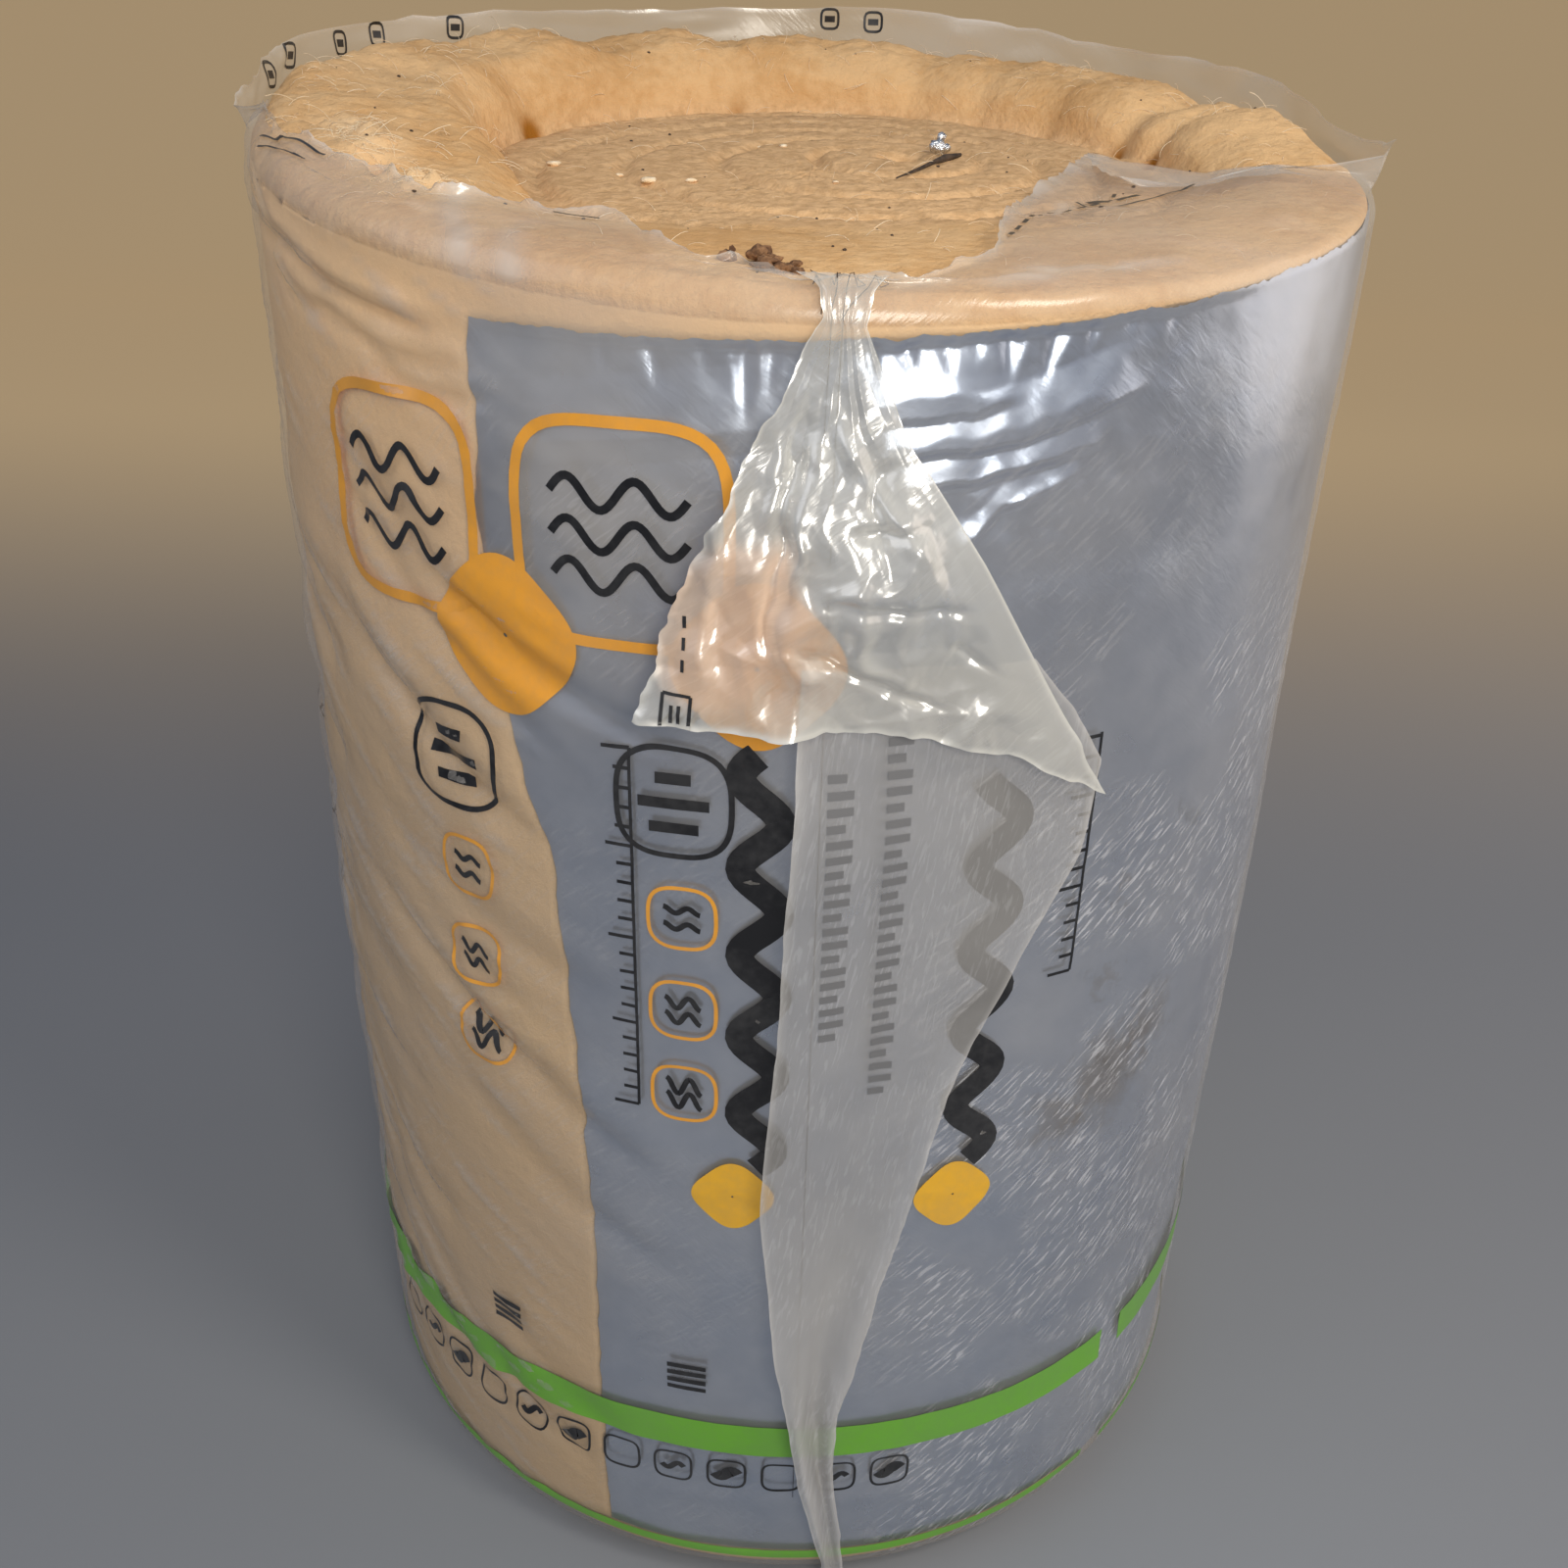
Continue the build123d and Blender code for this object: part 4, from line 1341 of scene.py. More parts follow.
def makeFlap(material):
    across, down, path, turn = hangingStrip(flap)
    sag, ragged = flap["sag"]
    path = path + sag * smooth((down - 0.7) / 0.3) * np.sin(np.pi * across ** 1.3)
    path = path + down ** 8 * ragged * noise(across * 22, 0.5, 0, 111)
    leftEdge = 0.5 * noise(down * 12, 0.5, 0, 112) + 0.2 * noise(down * 40, 0.5, 0, 113)
    turn = turn + leftEdge * (1 - across) ** 8
    u = arcOf(turn)
    spread = smooth((down - 0.08) / 0.30)
    fan = np.abs((across * 5.5 + 0.6 * noise(across * 5, down * 4, 0, 114)) % 1 - 0.5) * 2
    calm = smooth((across - 0.74) / 0.16) * smooth((down - 0.12) / 0.3)
    calm = calm * (1 - 0.5 * smooth((down - 0.72) / 0.2))
    crumple = flap["large"] * sharpFolds(u * 17, path * 13, 5, 115)
    crumple = crumple + flap["medium"] * sharpFolds(u * 44, path * 32, 5, 116)
    crumple = crumple + flap["facet"] * facets(u * 62 + path * 9, path * 44, 122)
    crumple = crumple + flap["facet"] * 0.30 * facets(u * 135, path * 120 - u * 30, 123)
    crumple = crumple + lineFolds(u, path, filmFolds(flap["folds"]), 0.0015)
    crumple = (crumple + flap["fan"] * fan * (1 - spread * 0.6)) * (1 - 0.92 * calm)
    atWaist, below = flap["bulge"]
    bulge = below * smooth(down / 0.55) + atWaist
    stand = np.maximum(bulge + (0.15 + 0.85 * spread) * crumple, flap["nearest"])
    points = onSide("filmRadius", turn, path, stand)
    shiftX, shiftZ = flap["sideways"]
    points[..., 0] += shiftX * spread * (1 - calm) * noise(u * 80, path * 80, 0, 118)
    points[..., 2] += shiftZ * spread * (1 - calm) * noise(u * 80, path * 80, 0, 119) * (1 - down ** 4)
    slope = np.clip(np.hypot(*np.gradient(stand)) / 0.0009, 0, 1)
    tinted = 0
    for (spotTurn, spotHeight), size in flap["tintSpots"]:
        reach = np.hypot(u - arcOf(spotTurn), path - spotHeight)
        inside = size - reach + 0.003 * noise(u * 60, path * 60, 0, 120)
        tinted = np.maximum(tinted, smooth(inside / 0.008))
    cloud = 0.5 + 0.5 * noise(u * 45, path * 45, 0, 121)
    share = flap["milk"]
    milk = share["base"] + share["cloud"] * cloud + share["slope"] * slope * (1 - calm)
    milk = milk + share["calm"] * calm + share["tinted"] * tinted
    milk = np.clip(milk + share["edge"] * edgeLine(across, down), 0, 0.95)
    return finishStrip(
        "filmFlap", points, np.stack([u, path], axis=-1), material, ["filmSleeve"],
        milk=milk, tinted=tinted, rubbed=np.full(milk.shape, flap["rubbed"]))


def makeTail(material):
    across, down, path, turn = hangingStrip(tail)
    leftEdge = 0.35 * noise(down * 9, 0.5, 0, 131) + 0.12 * noise(down * 45, 0.5, 0, 132)
    rightEdge = 0.5 * noise(down * 9, 2.5, 0, 133) + 0.15 * noise(down * 60, 0.5, 0, 134)
    turn = turn + leftEdge * (1 - across) ** 6
    turn = turn + rightEdge * across ** 6
    narrow = bell(down - tail["narrowAt"], 0.10)
    folds = tail["folds"] * np.sin(across * 9 + 2.2 * noise(down * 2.5, 0.2, 0, 135)) * (0.5 + narrow)
    soft = tail["soft"] * noise(across * 2.5, down * 5, 0, 136)
    soft = soft + tail["crumple"] * sharpFolds(across * 3, down * 12, 5, 137)
    leftStand, rightStand = tail["edgeStand"]
    edge = leftStand * (1 - across) ** 2 * smooth(down / 0.15) * smooth((1 - down) / 0.15 + 0.3)
    edge = edge + rightStand * smooth(across * 3 - 2) * smooth(down / 0.2)
    stand = np.maximum(tail["stand"] + folds + soft + edge, tail["nearest"])
    points = onSide("filmRadius", turn, path, stand)
    cloud = 0.5 + 0.5 * layeredNoise(across * 2.2, down * 9, 0, 3, 138)
    share = tail["milk"]
    milk = share["base"] + share["cloud"] * cloud + share["narrow"] * narrow
    milk = milk + share["low"] * smooth((down - 0.42) / 0.25)
    milk = milk + share["edge"] * edgeLine(across, 0 * down, 0.02)
    return finishStrip(
        "filmTail", points, np.stack([arcOf(turn), path], axis=-1), material, ["filmSleeve", "filmFlap"],
        milk=np.clip(milk, 0, 0.95), rubbed=np.full(milk.shape, tail["rubbed"]))


filmFinish = {                       # one row for each piece of film, and what they share
    "sleeveFilm": {"tint": (0.72, 0.67, 0.61, 1), "rough": 0.22, "index": 1.75, "bump": 0.14,
                   "scuffs": 0.34, "whiteScuffGlints": 0.8, "scuffTurn": -40},
    "flapFilm": {"tint": (0.88, 0.86, 0.78, 1), "rough": 0.23, "index": 2.4, "bump": 0.12,
                 "scuffs": 0.10, "whiteScuffGlints": 0.0, "scuffTurn": -40},
    "tailFilm": {"tint": (0.61, 0.59, 0.565, 1), "rough": 0.28, "index": 1.7, "bump": 0.25,
                 "scuffs": 0.10, "whiteScuffGlints": 0.3, "scuffTurn": -80},
    "edgeOnBlend": 0.35,             # the film is milkier where it is seen edge on
    "edgeOnMilk": 0.40,
    "mostMilk": 0.97,
    "peach": (1.0, 0.76, 0.57, 1),
    # painted glints: the whitened colour of the scuffs
    "scuffGlintColour": (0.95, 0.96, 1.0, 1),
}


def makeFilmMaterial(name):
    # clear film: little of it shows but its gloss, its haze and its scuffs; the scuffs are also whitened
    # in colour as painted glints
    finish = filmFinish[name]
    material, tree, shader = newMaterial(
        name, {"Specular IOR Level": 1.0, "IOR": finish["index"], "Roughness": finish["rough"]})
    facing = wire(addNode(tree, "ShaderNodeLayerWeight", {"Blend": filmFinish["edgeOnBlend"]}), "Facing")
    scuffs = groupWires(tree, scuffGroup, {
        "Where": turned(tree, sheetPlace(tree), finish["scuffTurn"]),
        "Scale": 95.0, "Stretch": 7.0, "Line": 0.15, "Patch": 14.0})
    rubbed = scuffs["Mask"] * attribute(tree, "rubbed")
    alpha = attribute(tree, "milk") + facing ** 4.0 * filmFinish["edgeOnMilk"]
    alpha = alpha + rubbed * finish["scuffs"]
    plug(tree, shader.inputs["Alpha"], mathNode(tree, "MINIMUM", alpha, filmFinish["mostMilk"]))
    colour = mixColour(tree, attribute(tree, "tinted"), finish["tint"], filmFinish["peach"])
    # painted highlights: the scuffs are whitened as glints
    colour = mixColour(tree, rubbed * finish["whiteScuffGlints"], colour, filmFinish["scuffGlintColour"])
    plug(tree, shader.inputs["Base Color"], colour)
    bumpInto(tree, shader, scuffs["Height"], finish["bump"], 0.0014)
    return material


# Print on the film: plain generic marks in the film's own colours

prints = {
    "columns": (-0.148, -0.058),     # where the two repeats of the print stand, round the film
    "lift": 0.00022,
    "frame": (0.508, 0.036, 0.0038),          # height, half size, line
    "frameWaves": (0.0135, 0.046, 0.0050, 0.0028),      # spacing, width, swing, line
    "diamond": (0.045, 0.468, 0.026),         # to the right of its column, height, half size
    "panel": (0.0165, 0.416, 0.0205, 0.0021),
    "panelBars": (0.0095, 0.62, 0.0042),      # spacing, share of the panel, line
    "badges": [0.3700, 0.3300, 0.2915],
    "badge": (0.0190, 0.0125, 0.0015),
    "badgeWaves": (0.0034, 0.0135, 0.0012, 0.0022),
    "code": (0.0185, 0.1375, 0.0085),
    "codeLine": 0.0025,
    "waveColumns": [(-0.011, 0.258, 0.437), (0.074, 0.256, 0.425)],
    "waveShape": (0.0070, 0.0105, 0.036),     # swing, thickness, one wave
    "dots": [(-0.020, 0.243), (0.069, 0.239)],
    "dotSize": 0.0145,
    "rulers": [(-0.057, 0.283, 0.435), (0.111, 0.337, 0.437), (-0.292, 0.283, 0.435)],
    "rulerTicks": (0.0076, 0.010, 0.006, 0.0014),       # step, long, short, line
    "bands": [(0.0930, 0.1115), (0.0225, 0.0278)],
    "bandTurns": (47.0, 403.0),
    "boxRow": (-0.218, 0.052, 0.0245, 0.079, 0.0085),   # first, last, step, height, half size
    "thinLine": 0.0012,
    "foldLift": 0.0009,
    "dash": (0.006, 0.0105, 0.0015),          # length, step, line
    "foldDashes": [(0.065, -0.150), (0.081, -0.106), (0.114, -0.064), (0.119, -0.046)],
    "foldLines": [                   # plan runs on the folded film, and line width
        ([(-0.197, -0.092), (-0.166, -0.119)], 0.0011), ([(-0.196, -0.099), (-0.172, -0.122)], 0.0007),
        ([(-0.081, -0.166), (-0.066, -0.169)], 0.0016),
        ([(0.103, -0.083), (0.127, -0.064), (0.151, -0.038)], 0.0013),
        ([(0.103, -0.083), (0.099, -0.074)], 0.0013),
        ([(0.103, -0.074), (0.112, -0.067)], 0.0022), ([(0.116, -0.064), (0.126, -0.054)], 0.0022),
    ],
    "tailRulers": [(0.0300, 0.300, 0.445), (0.0105, 0.330, 0.440)],
    "tailTicks": (0.0058, 0.0085, 0.0060, 0.0030),
    "looseLift": 0.0003,             # of the marks on the flap and the tail
    "flapLine": 0.0011,
    "flapMarks": [                   # turn and height runs on the flap's corner
        [(-8.7, 0.489), (-8.7, 0.485)], [(-8.75, 0.482), (-8.75, 0.478)], [(-8.8, 0.475), (-8.8, 0.471)],
        [(-10.3, 0.464), (-8.1, 0.463)], [(-10.3, 0.464), (-10.5, 0.450)],
        [(-8.1, 0.463), (-8.3, 0.449)], [(-9.6, 0.460), (-9.7, 0.451)], [(-9.0, 0.460), (-9.1, 0.451)],
    ],
    "collarBoxes": [                 # turn and height
        (-91, 0.632), (-97, 0.639), (-108, 0.644), (-115, 0.648), (-128, 0.652), (172, 0.660),
        (178, 0.661),
    ],
    "collarBox": (0.0046, 0.0013, 0.0030),    # half size, line, bar
    "collarLift": -0.0003,           # printed on the inner side
}


def squircle(u, v, half, turn=0.0, power=4.0, count=72):
    # closed outline between a circle and a square
    angle = np.linspace(0, 2 * np.pi, count, endpoint=False)
    reach = half / (np.abs(np.cos(angle)) ** power + np.abs(np.sin(angle)) ** power) ** (1 / power)
    angle = angle + math.radians(turn)
    return np.stack([u + reach * np.cos(angle), v + reach * np.sin(angle)], axis=-1)


def lineGrid(path, width, closed=False):
    # two rails of points along a drawn line
    ahead = np.roll(path, -1, axis=0) - np.roll(path, 1, axis=0) if closed else np.gradient(path, axis=0)
    ahead = ahead / np.linalg.norm(ahead, axis=1)[:, None]
    side = np.stack([-ahead[:, 1], ahead[:, 0]], axis=-1) * width / 2
    return np.stack([path - side, path + side]), closed


def fillGrid(path, rings=6):
    centre = path.mean(axis=0)
    share = np.linspace(1.0, 0.03, rings)[:, None, None]
    return centre + (path - centre) * share, True


def waveLine(u, v, width, swing, waves=2.0, count=40):
    along = np.linspace(-0.5, 0.5, count)
    return np.stack([u + along * width, v + swing * np.sin(along * waves * 2 * np.pi)], axis=-1)


def barLine(uA, vA, uB, vB, step=0.004):
    count = max(2, int(math.hypot(uB - uA, vB - vA) / step) + 1)
    return np.stack([np.linspace(uA, uB, count), np.linspace(vA, vB, count)], axis=-1)


def printGrids():
    # every mark as a grid of points on the flat film, by ink
    inks = {"orange": [], "black": [], "yellow": [], "green": []}

    def draw(ink, path, width, closed=False):
        inks[ink].append(lineGrid(path, width, closed))

    frameV, frameHalf, frameLine = prints["frame"]
    diamondU, diamondV, diamondHalf = prints["diamond"]
    panelU, panelV, panelHalf, panelLine = prints["panel"]
    badgeU, badgeHalf, badgeLine = prints["badge"]
    codeU, codeV, codeHalf = prints["code"]
    for column in prints["columns"]:
        draw("orange", squircle(column, frameV, frameHalf), frameLine, True)
        inks["orange"].append(fillGrid(squircle(column + diamondU, diamondV, diamondHalf, 45, 3.0), 9))
        step, width, swing, line = prints["frameWaves"]
        for row in (-1, 0, 1):
            draw("black", waveLine(column, frameV + row * step, width, swing), line)
        u = column + panelU
        draw("black", squircle(u, panelV, panelHalf, power=3.0), panelLine, True)
        step, width, line = prints["panelBars"]
        for row, share in zip((-1, 0, 1), (0.7, 1.0, 0.5)):
            half, v = panelHalf * width * share, panelV + row * step
            draw("black", barLine(u - half, v, u + half, v), line)
        step, width, swing, line = prints["badgeWaves"]
        for index, v in enumerate(prints["badges"]):
            draw("orange", squircle(column + badgeU, v, badgeHalf, power=3.0, count=48), badgeLine, True)
            for row in (-1, 1):
                wave = waveLine(column + badgeU, v + row * step, width, swing * (1 + index), 1.5, 24)
                draw("black", wave, line)
        u = column + codeU
        for row in range(4):
            v = codeV + (row - 1.5) * codeHalf * 0.5
            draw("black", barLine(u - codeHalf, v, u + codeHalf, v), prints["codeLine"])
    swing, thick, length = prints["waveShape"]
    for u, low, high in prints["waveColumns"]:
        v = np.linspace(low, high, 90)
        wave = np.stack([u + swing * np.sin((v - low) / length * 2 * np.pi), v], axis=-1)
        draw("black", wave, thick)
    for u, v in prints["dots"]:
        inks["yellow"].append(fillGrid(squircle(u, v, prints["dotSize"], 45, 3.2), 6))
    step, long, short, line = prints["rulerTicks"]
    for u, low, high in prints["rulers"]:
        draw("black", barLine(u, low, u, high), prints["thinLine"])
        for index, v in enumerate(np.arange(low, high, step)):
            draw("black", barLine(u - (short if index % 5 else long), v, u, v), line)
    first, last = (arcOf(turn) for turn in prints["bandTurns"])
    for low, high in prints["bands"]:
        u = np.linspace(first, last, 420)[None, :] + np.zeros((4, 1))
        v = np.linspace(low, high, 4)[:, None] + 0 * u
        inks["green"].append((np.stack([u, v], axis=-1), False))
    first, last, step, v, half = prints["boxRow"]
    for index, u in enumerate(np.arange(first, last, step)):
        draw("black", squircle(u, v, half, count=40), prints["thinLine"], True)
        if index % 3:
            draw("black", waveLine(u, v, half * 1.2, 0.002, 1.0, 16), 0.0030 * (index % 3))
    return inks


def pressedMeshes(name, tree, grids, lift):
    # flat grids of the print, laid on a piece point by point
    meshes = []
    for grid, closed in grids:
        places = [pressOn(tree, u / arcOf(1.0), v, lift) for u, v in grid.reshape(-1, 2)]
        meshes.append(gridMesh(name, np.array(places).reshape(*grid.shape[:2], 3), closed=closed))
    return meshes


def foldMarks(tree):
    # dashes and thin lines on the film that is folded in over the top
    meshes = []
    xs, ys = zip(*prints["foldDashes"])
    steps = stepsAlong(np.diff(xs), np.diff(ys))
    length, step, width = prints["dash"]
    dashes = [(*(np.interp([start, start + length], steps, values) for values in (xs, ys)), width)
              for start in np.arange(0, steps[-1] - length, step)]
    lines = [(*np.array(corners).T, width) for corners, width in prints["foldLines"]]
    for x, y, width in dashes + lines:
        steps = stepsAlong(np.diff(x), np.diff(y))
        share = np.linspace(0, steps[-1], max(4, int(steps[-1] / 0.0015)))
        line = np.stack([np.interp(share, steps, values) for values in (x, y)], axis=-1)
        grid, _ = lineGrid(line, width)
        places = np.array([dropOn(tree, a, b, prints["foldLift"]) for a, b in grid.reshape(-1, 2)])
        places = places.reshape(*grid.shape[:2], 3)
        onFilm = places[..., 2].min(axis=0) > 0.5
        if onFilm.sum() > 1:
            meshes.append(gridMesh("foldMark", places[:, onFilm]))
    return meshes


def collarMarks(tree):
    grids = []
    half, line, bar = prints["collarBox"]
    for turn, height in prints["collarBoxes"]:
        u = arcOf(turn)
        grids.append(lineGrid(squircle(u, height, half, count=24), line, True))
        grids.append(lineGrid(barLine(u - half * 0.6, height, u + half * 0.6, height), bar))
    return pressedMeshes("collarMark", tree, grids, prints["collarLift"])


def finishPrint(name, meshes, material):
    settle(addPiece(name, joinMeshes(name, meshes, outwards=True), material), "film")


def makeLoosePrint(name, sheet, grids, material):
    # thin marks on the hanging flap or tail
    finishPrint(name, pressedMeshes(name, faceTree(sheet), grids, prints["looseLift"]), material)


def makePrints(film, materials):
    tree = faceTree(film)
    for ink, grids in printGrids().items():
        meshes = pressedMeshes(ink, tree, grids, prints["lift"])
        if ink == "black":
            meshes += foldMarks(tree) + collarMarks(tree)
        finishPrint(ink + "Print", meshes, materials[ink])


def flapGrids():
    # a few thin lines on the flap's corner
    return [lineGrid(barLine(arcOf(turnA), heightA, arcOf(turnB), heightB, 0.0015), prints["flapLine"])
            for (turnA, heightA), (turnB, heightB) in prints["flapMarks"]]


def tailGrids():
    # rows of ticks on the hanging tail
    step, long, short, line = prints["tailTicks"]
    return [lineGrid(barLine(u, v, u + (long if index % 3 else short), v), line)
            for u, low, high in prints["tailRulers"]
            for index, v in enumerate(np.arange(low, high, step))]


inkColours = {
    "black": (0.012, 0.012, 0.014, 1),
    "orange": (0.90, 0.40, 0.045, 1),
    "yellow": (0.92, 0.50, 0.035, 1),
    "green": (0.18, 0.50, 0.04, 1),
    "faded": (0.19, 0.19, 0.195, 1),          # black ink seen through the hanging tail
}


def makeInk(name, colour):
    faded = tuple(channel * 0.85 + 0.03 for channel in colour[:3]) + (1,)
    return makeTinted(name, colour, faded, 20.0, 260.0, {"Roughness": 0.3})


# Loose dirt on the open top

debris = {
    "leafPlace": (-0.013, -0.197),
    "leafCrumbs": 30,
    "leafSize": 0.011,
    "leafSpread": (0.0050, 0.0034),
    "scrapPlace": (0.057, 0.050),
    "scrapSize": 0.0045,
    "scrapBits": [                   # place, lift, size, flatness, seed
        (0, 0, 0.0035, 0.72, 1.1, 3), (0.0028, 0.001, 0.0030, 0.55, 0.7, 4),
        (-0.0024, -0.001, 0.0040, 0.50, 1.2, 5), (0.0006, 0.001, 0.0075, 0.48, 0.9, 6),
    ],
    "twigRadii": [0.0003, 0.0007, 0.0009, 0.0017, 0.0008],
    "hairRadius": 0.00016,
    "twig": [(0.035, -0.013), (0.045, 0.006), (0.053, 0.024), (0.059, 0.035), (0.066, 0.044)],
    "hairs": [
        [(0.006, -0.222), (0.009, -0.213), (0.006, -0.206), (0.010, -0.200)],
        [(0.008, -0.224), (0.012, -0.215), (0.016, -0.210), (0.015, -0.203)],
        [(0.004, -0.221), (0.002, -0.212), (0.005, -0.204), (0.001, -0.199)],
        [(0.010, -0.221), (0.018, -0.216), (0.023, -0.207), (0.021, -0.201)],
    ],
    "specks": 46,
    "speckSize": (0.0003, 0.0009),
    "speckReach": 0.205,
    "chips": [                       # place and size
        (-0.108, 0.003, 0.006), (-0.080, -0.004, 0.004), (-0.066, -0.024, 0.007),
        (-0.048, -0.026, 0.005), (-0.013, 0.061, 0.004), (-0.024, 0.070, 0.003), (0.010, -0.020, 0.003),
    ],
    "seed": 9,
}


def crumbMesh(name, place, size, flatness, seed, rings=6, sides=9):
    # a small closed lump with an uneven skin
    polar = np.linspace(0.15, math.pi - 0.15, rings)[:, None]
    bearing = np.linspace(0, 2 * np.pi, sides, endpoint=False)[None, :]
    shape = np.stack(np.broadcast_arrays(
        np.sin(polar) * np.cos(bearing), np.sin(polar) * np.sin(bearing), -np.cos(polar)), axis=-1)
    x, y, z = (shape[..., axis] * 1.7 for axis in range(3))
    bumps = 1 + 0.45 * noise(x, y, z + seed * 3.1, seed)
    points = shape * bumps[..., None] * size * np.array([1.0, 0.75, flatness])
    return gridMesh(name, points + np.array(place), closed=True, capFirst=True, capLast=True)


def makeDebris(top, materials):
    chance = np.random.default_rng(debris["seed"])
    (leafX, leafY), (spreadX, spreadY) = debris["leafPlace"], debris["leafSpread"]
    leaf, specks = [], []
    for index in range(debris["leafCrumbs"]):
        x, y = leafX + chance.normal(0, spreadX), leafY + chance.normal(0, spreadY)
        size = debris["leafSize"] * chance.uniform(0.10, 0.26)
        place = dropOn(top, x, y, chance.uniform(0, 0.004))
        leaf.append(crumbMesh("leaf", place, size, chance.uniform(0.2, 0.9), 20 + index))
    (scrapX, scrapY), full = debris["scrapPlace"], debris["scrapSize"]
    scrap = [crumbMesh("scrap", dropOn(top, scrapX + x, scrapY + y, lift), full * size, flatness, seed)
             for x, y, lift, size, flatness, seed in debris["scrapBits"]]
    twig = [dropOn(top, x, y, 0.0012) for x, y in debris["twig"]]
    stems = [tubeMesh("twig", twig, debris["twigRadii"])]
    for hair in debris["hairs"]:
        corners = np.array(hair)
        share = np.linspace(0, len(corners) - 1, 16)
        x, y = (np.interp(share, range(len(corners)), values) for values in corners.T)
        x = x + 0.0008 * np.sin(share * 4)
        path = [dropOn(top, a, b, 0.0008) for a, b in zip(x, y)]
        stems.append(tubeMesh("hair", path, [debris["hairRadius"]] * len(x), 4))
    for index in range(debris["specks"]):
        turn, radius = chance.uniform(-180, 180), debris["speckReach"] * math.sqrt(chance.uniform(0, 1))
        size = chance.uniform(*debris["speckSize"])
        place = dropOn(top, *around(turn, radius), size * 0.3)
        specks.append(crumbMesh("speck", place, size, 0.6, 40 + index, 4, 6))
    chips = [crumbMesh("chip", dropOn(top, x, y, size * 0.12), size * 0.5, 0.35, 90 + index)
             for index, (x, y, size) in enumerate(debris["chips"])]
    for name, meshes, kind, slot in (
            ("leafCrumb", leaf, "leaf", "glass_wool"), ("foilScrap", scrap, "scrap", "foil"),
            ("twigAndHairs", stems, "dark", "glass_wool"), ("darkSpecks", specks, "dark", "glass_wool"),
            ("woolChips", chips, "chip", "glass_wool")):
        settle(addPiece(name, joinMeshes(name, meshes), materials[kind]), slot)


crumbFinish = {                      # name, two tints, and the shader's own values
    "leaf": ("dryLeaf", (0.10, 0.045, 0.02, 1), (0.32, 0.17, 0.08, 1), {"Roughness": 0.9}),
    "scrap": ("scrapFoil", (0.6, 0.62, 0.65, 1), (0.8, 0.82, 0.85, 1),
              {"Metallic": 1.0, "Roughness": 0.25}),
    "dark": ("darkDirt", (0.03, 0.02, 0.015, 1), (0.09, 0.06, 0.04, 1), {"Roughness": 0.8}),
    "chip": ("paleFibre", (0.95, 0.74, 0.48, 1), (1.0, 0.86, 0.64, 1), {"Roughness": 1.0}),
}


# Floor, light and camera

studio = {
    "floorSize": 14.0,
    "floorFront": -4.0,
    "floorBack": 5.0,
    "floorBend": 1.5,                # radius of the sweep from the floor up to the wall
    "wallTop": 4.0,
    "cameraPlace": (0.0, -0.6447, 0.6443),
    "focal": 1448.0,                 # in pixels of the 1600 pixel frame
    "framePixels": 1600.0,
    "pitch": 27.25,
    "yaw": -0.47,
    "roll": 1.36,
    "floorEnds": 0.3,
    "wallBegins": 2.2,
    "floorColour": (0.27, 0.285, 0.31, 1),
    "wallColour": (0.60, 0.44, 0.25, 1),
    "wallGlow": 0.35,
    "lampTarget": (0, 0, 0.45),
    "airColour": (0.74, 0.82, 1.0, 1),
    "airStrength": 0.27,
}


def makeFloor():
    material, tree, shader = newMaterial("paleFloor", {"Roughness": 0.9})
    far = ramp(axesOf(tree, objectPlace(tree))[1], studio["floorEnds"], studio["wallBegins"])
    for socket, near in (("Base Color", studio["floorColour"]), ("Emission Color", (0, 0, 0, 1))):
        plug(tree, shader.inputs[socket], mixColour(tree, far, near, studio["wallColour"]))
    shader.inputs["Emission Strength"].default_value = studio["wallGlow"]
    angle = np.linspace(0, 1, 60) * np.pi / 2
    back, bend = studio["floorBack"], studio["floorBend"]
    y = np.concatenate([[studio["floorFront"]], back - bend + bend * np.sin(angle), [back]])
    z = np.concatenate([[0.0], bend * (1 - np.cos(angle)), [studio["wallTop"]]])
    x = np.array([-studio["floorSize"] / 2, studio["floorSize"] / 2])
    points = np.stack(np.broadcast_arrays(x[None, :], y[:, None], z[:, None]), axis=-1)
    addPiece("floor", gridMesh("floor", points), material)


def makeCamera():
    data = bpy.data.cameras.new("camera")
    camera = bpy.data.objects.new("camera", data)
    bpy.context.scene.collection.objects.link(camera)
    data.sensor_width = 36.0
    data.lens = data.sensor_width * studio["focal"] / studio["framePixels"]
    data.clip_start = 0.01
    pitch, yaw, roll = (math.radians(studio[key]) for key in ("pitch", "yaw", "roll"))
    ahead = math.cos(pitch)
    forward = Vector((math.sin(yaw) * ahead, math.cos(yaw) * ahead, -math.sin(pitch)))
    level = Vector((math.cos(yaw), -math.sin(yaw), 0))
    up = level.cross(forward)
    right = math.cos(roll) * level + math.sin(roll) * up
    top = -math.sin(roll) * level + math.cos(roll) * up
    facing = Matrix((right, top, -forward)).transposed().to_4x4()
    camera.matrix_world = Matrix.Translation(studio["cameraPlace"]) @ facing
    bpy.context.scene.camera = camera


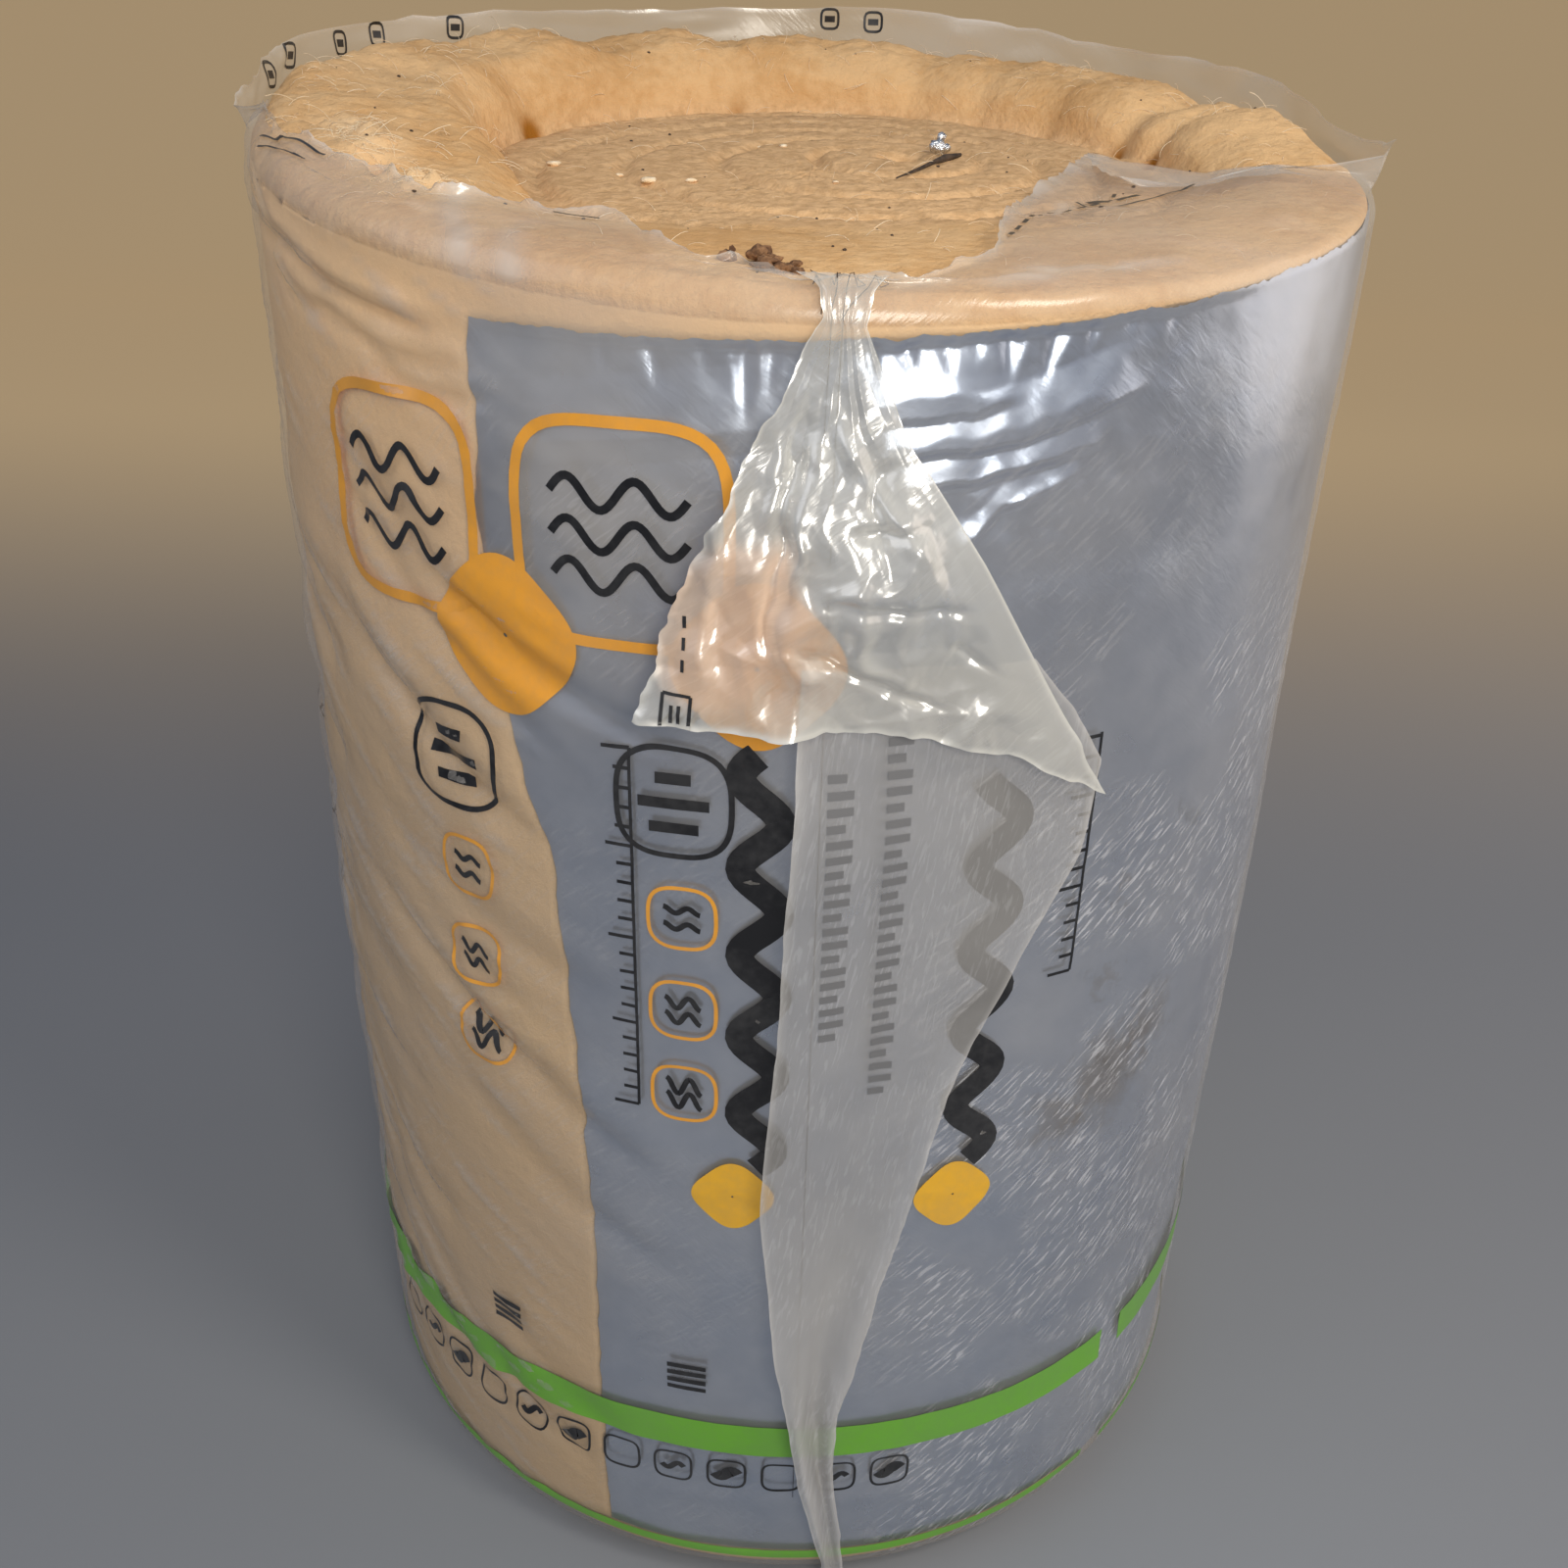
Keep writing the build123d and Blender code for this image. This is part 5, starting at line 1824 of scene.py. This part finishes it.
lamps = [                            # name, turn, tilt and distance from the target, size, power, colour
    ("keyLamp", 44, 42, 1.15, 0.28, 3.8, (1.0, 0.94, 0.84)),
    ("frontLamp", 12, 21, 1.2, 0.42, 6.2, (1.0, 0.94, 0.84)),
    ("leftLamp", -62, 38, 1.25, 1.0, 2.7, (0.95, 0.96, 1.0)),
    ("rightLamp", 98, 14, 1.7, 1.5, 7.0, (1.0, 0.86, 0.74)),
    ("backLamp", 170, 50, 2.2, 1.4, 0.8, (1.0, 0.95, 0.88)),
]


def makeLamps():
    target = Vector(studio["lampTarget"])
    for name, turn, tilt, distance, size, power, colour in lamps:
        data = bpy.data.lights.new(name, "AREA")
        data.shape = "DISK"
        data.size, data.energy, data.color = size, power, colour
        light = bpy.data.objects.new(name, data)
        bpy.context.scene.collection.objects.link(light)
        turn, tilt = math.radians(turn), math.radians(tilt)
        way = Vector((math.sin(turn) * math.cos(tilt), -math.cos(turn) * math.cos(tilt), math.sin(tilt)))
        light.location = target + way * distance
        light.rotation_euler = way.to_track_quat("Z", "Y").to_euler()
    world = bpy.data.worlds.new("studioAir")
    world.use_nodes = True
    background = world.node_tree.nodes["Background"]
    background.inputs["Color"].default_value = studio["airColour"]
    background.inputs["Strength"].default_value = studio["airStrength"]
    bpy.context.scene.world = world
    bpy.context.scene.view_settings.view_transform = "Standard"


tintGroup = makeTintGroup()
scuffGroup = makeScuffGroup()
woolMaterial = makeWoolMaterial()
sleeveMaterial, flapMaterial, tailMaterial = (
    makeFilmMaterial(name) for name in ("sleeveFilm", "flapFilm", "tailFilm"))
inkMaterials = {name: makeInk(name + "Ink", colour) for name, colour in inkColours.items()}
crumbMaterials = {
    kind: makeTinted(name, first, second, 220.0, 900.0, constants, (0.6, 0.0008))
    for kind, (name, first, second, constants) in crumbFinish.items()}

woolPiece = makeWool(woolMaterial)
makeFibres(woolPiece, crumbMaterials["chip"])
makeFoil(makeFoilMaterial())
sleevePiece = makeSleeve(sleeveMaterial)
makeLoosePrint("flapPrint", makeFlap(flapMaterial), flapGrids(), inkMaterials["black"])
makeLoosePrint("tailPrint", makeTail(tailMaterial), tailGrids(), inkMaterials["faded"])
makePrints(sleevePiece, inkMaterials)
makeDebris(faceTree(woolPiece, sleevePiece), crumbMaterials)
makeFloor()
makeCamera()
makeLamps()
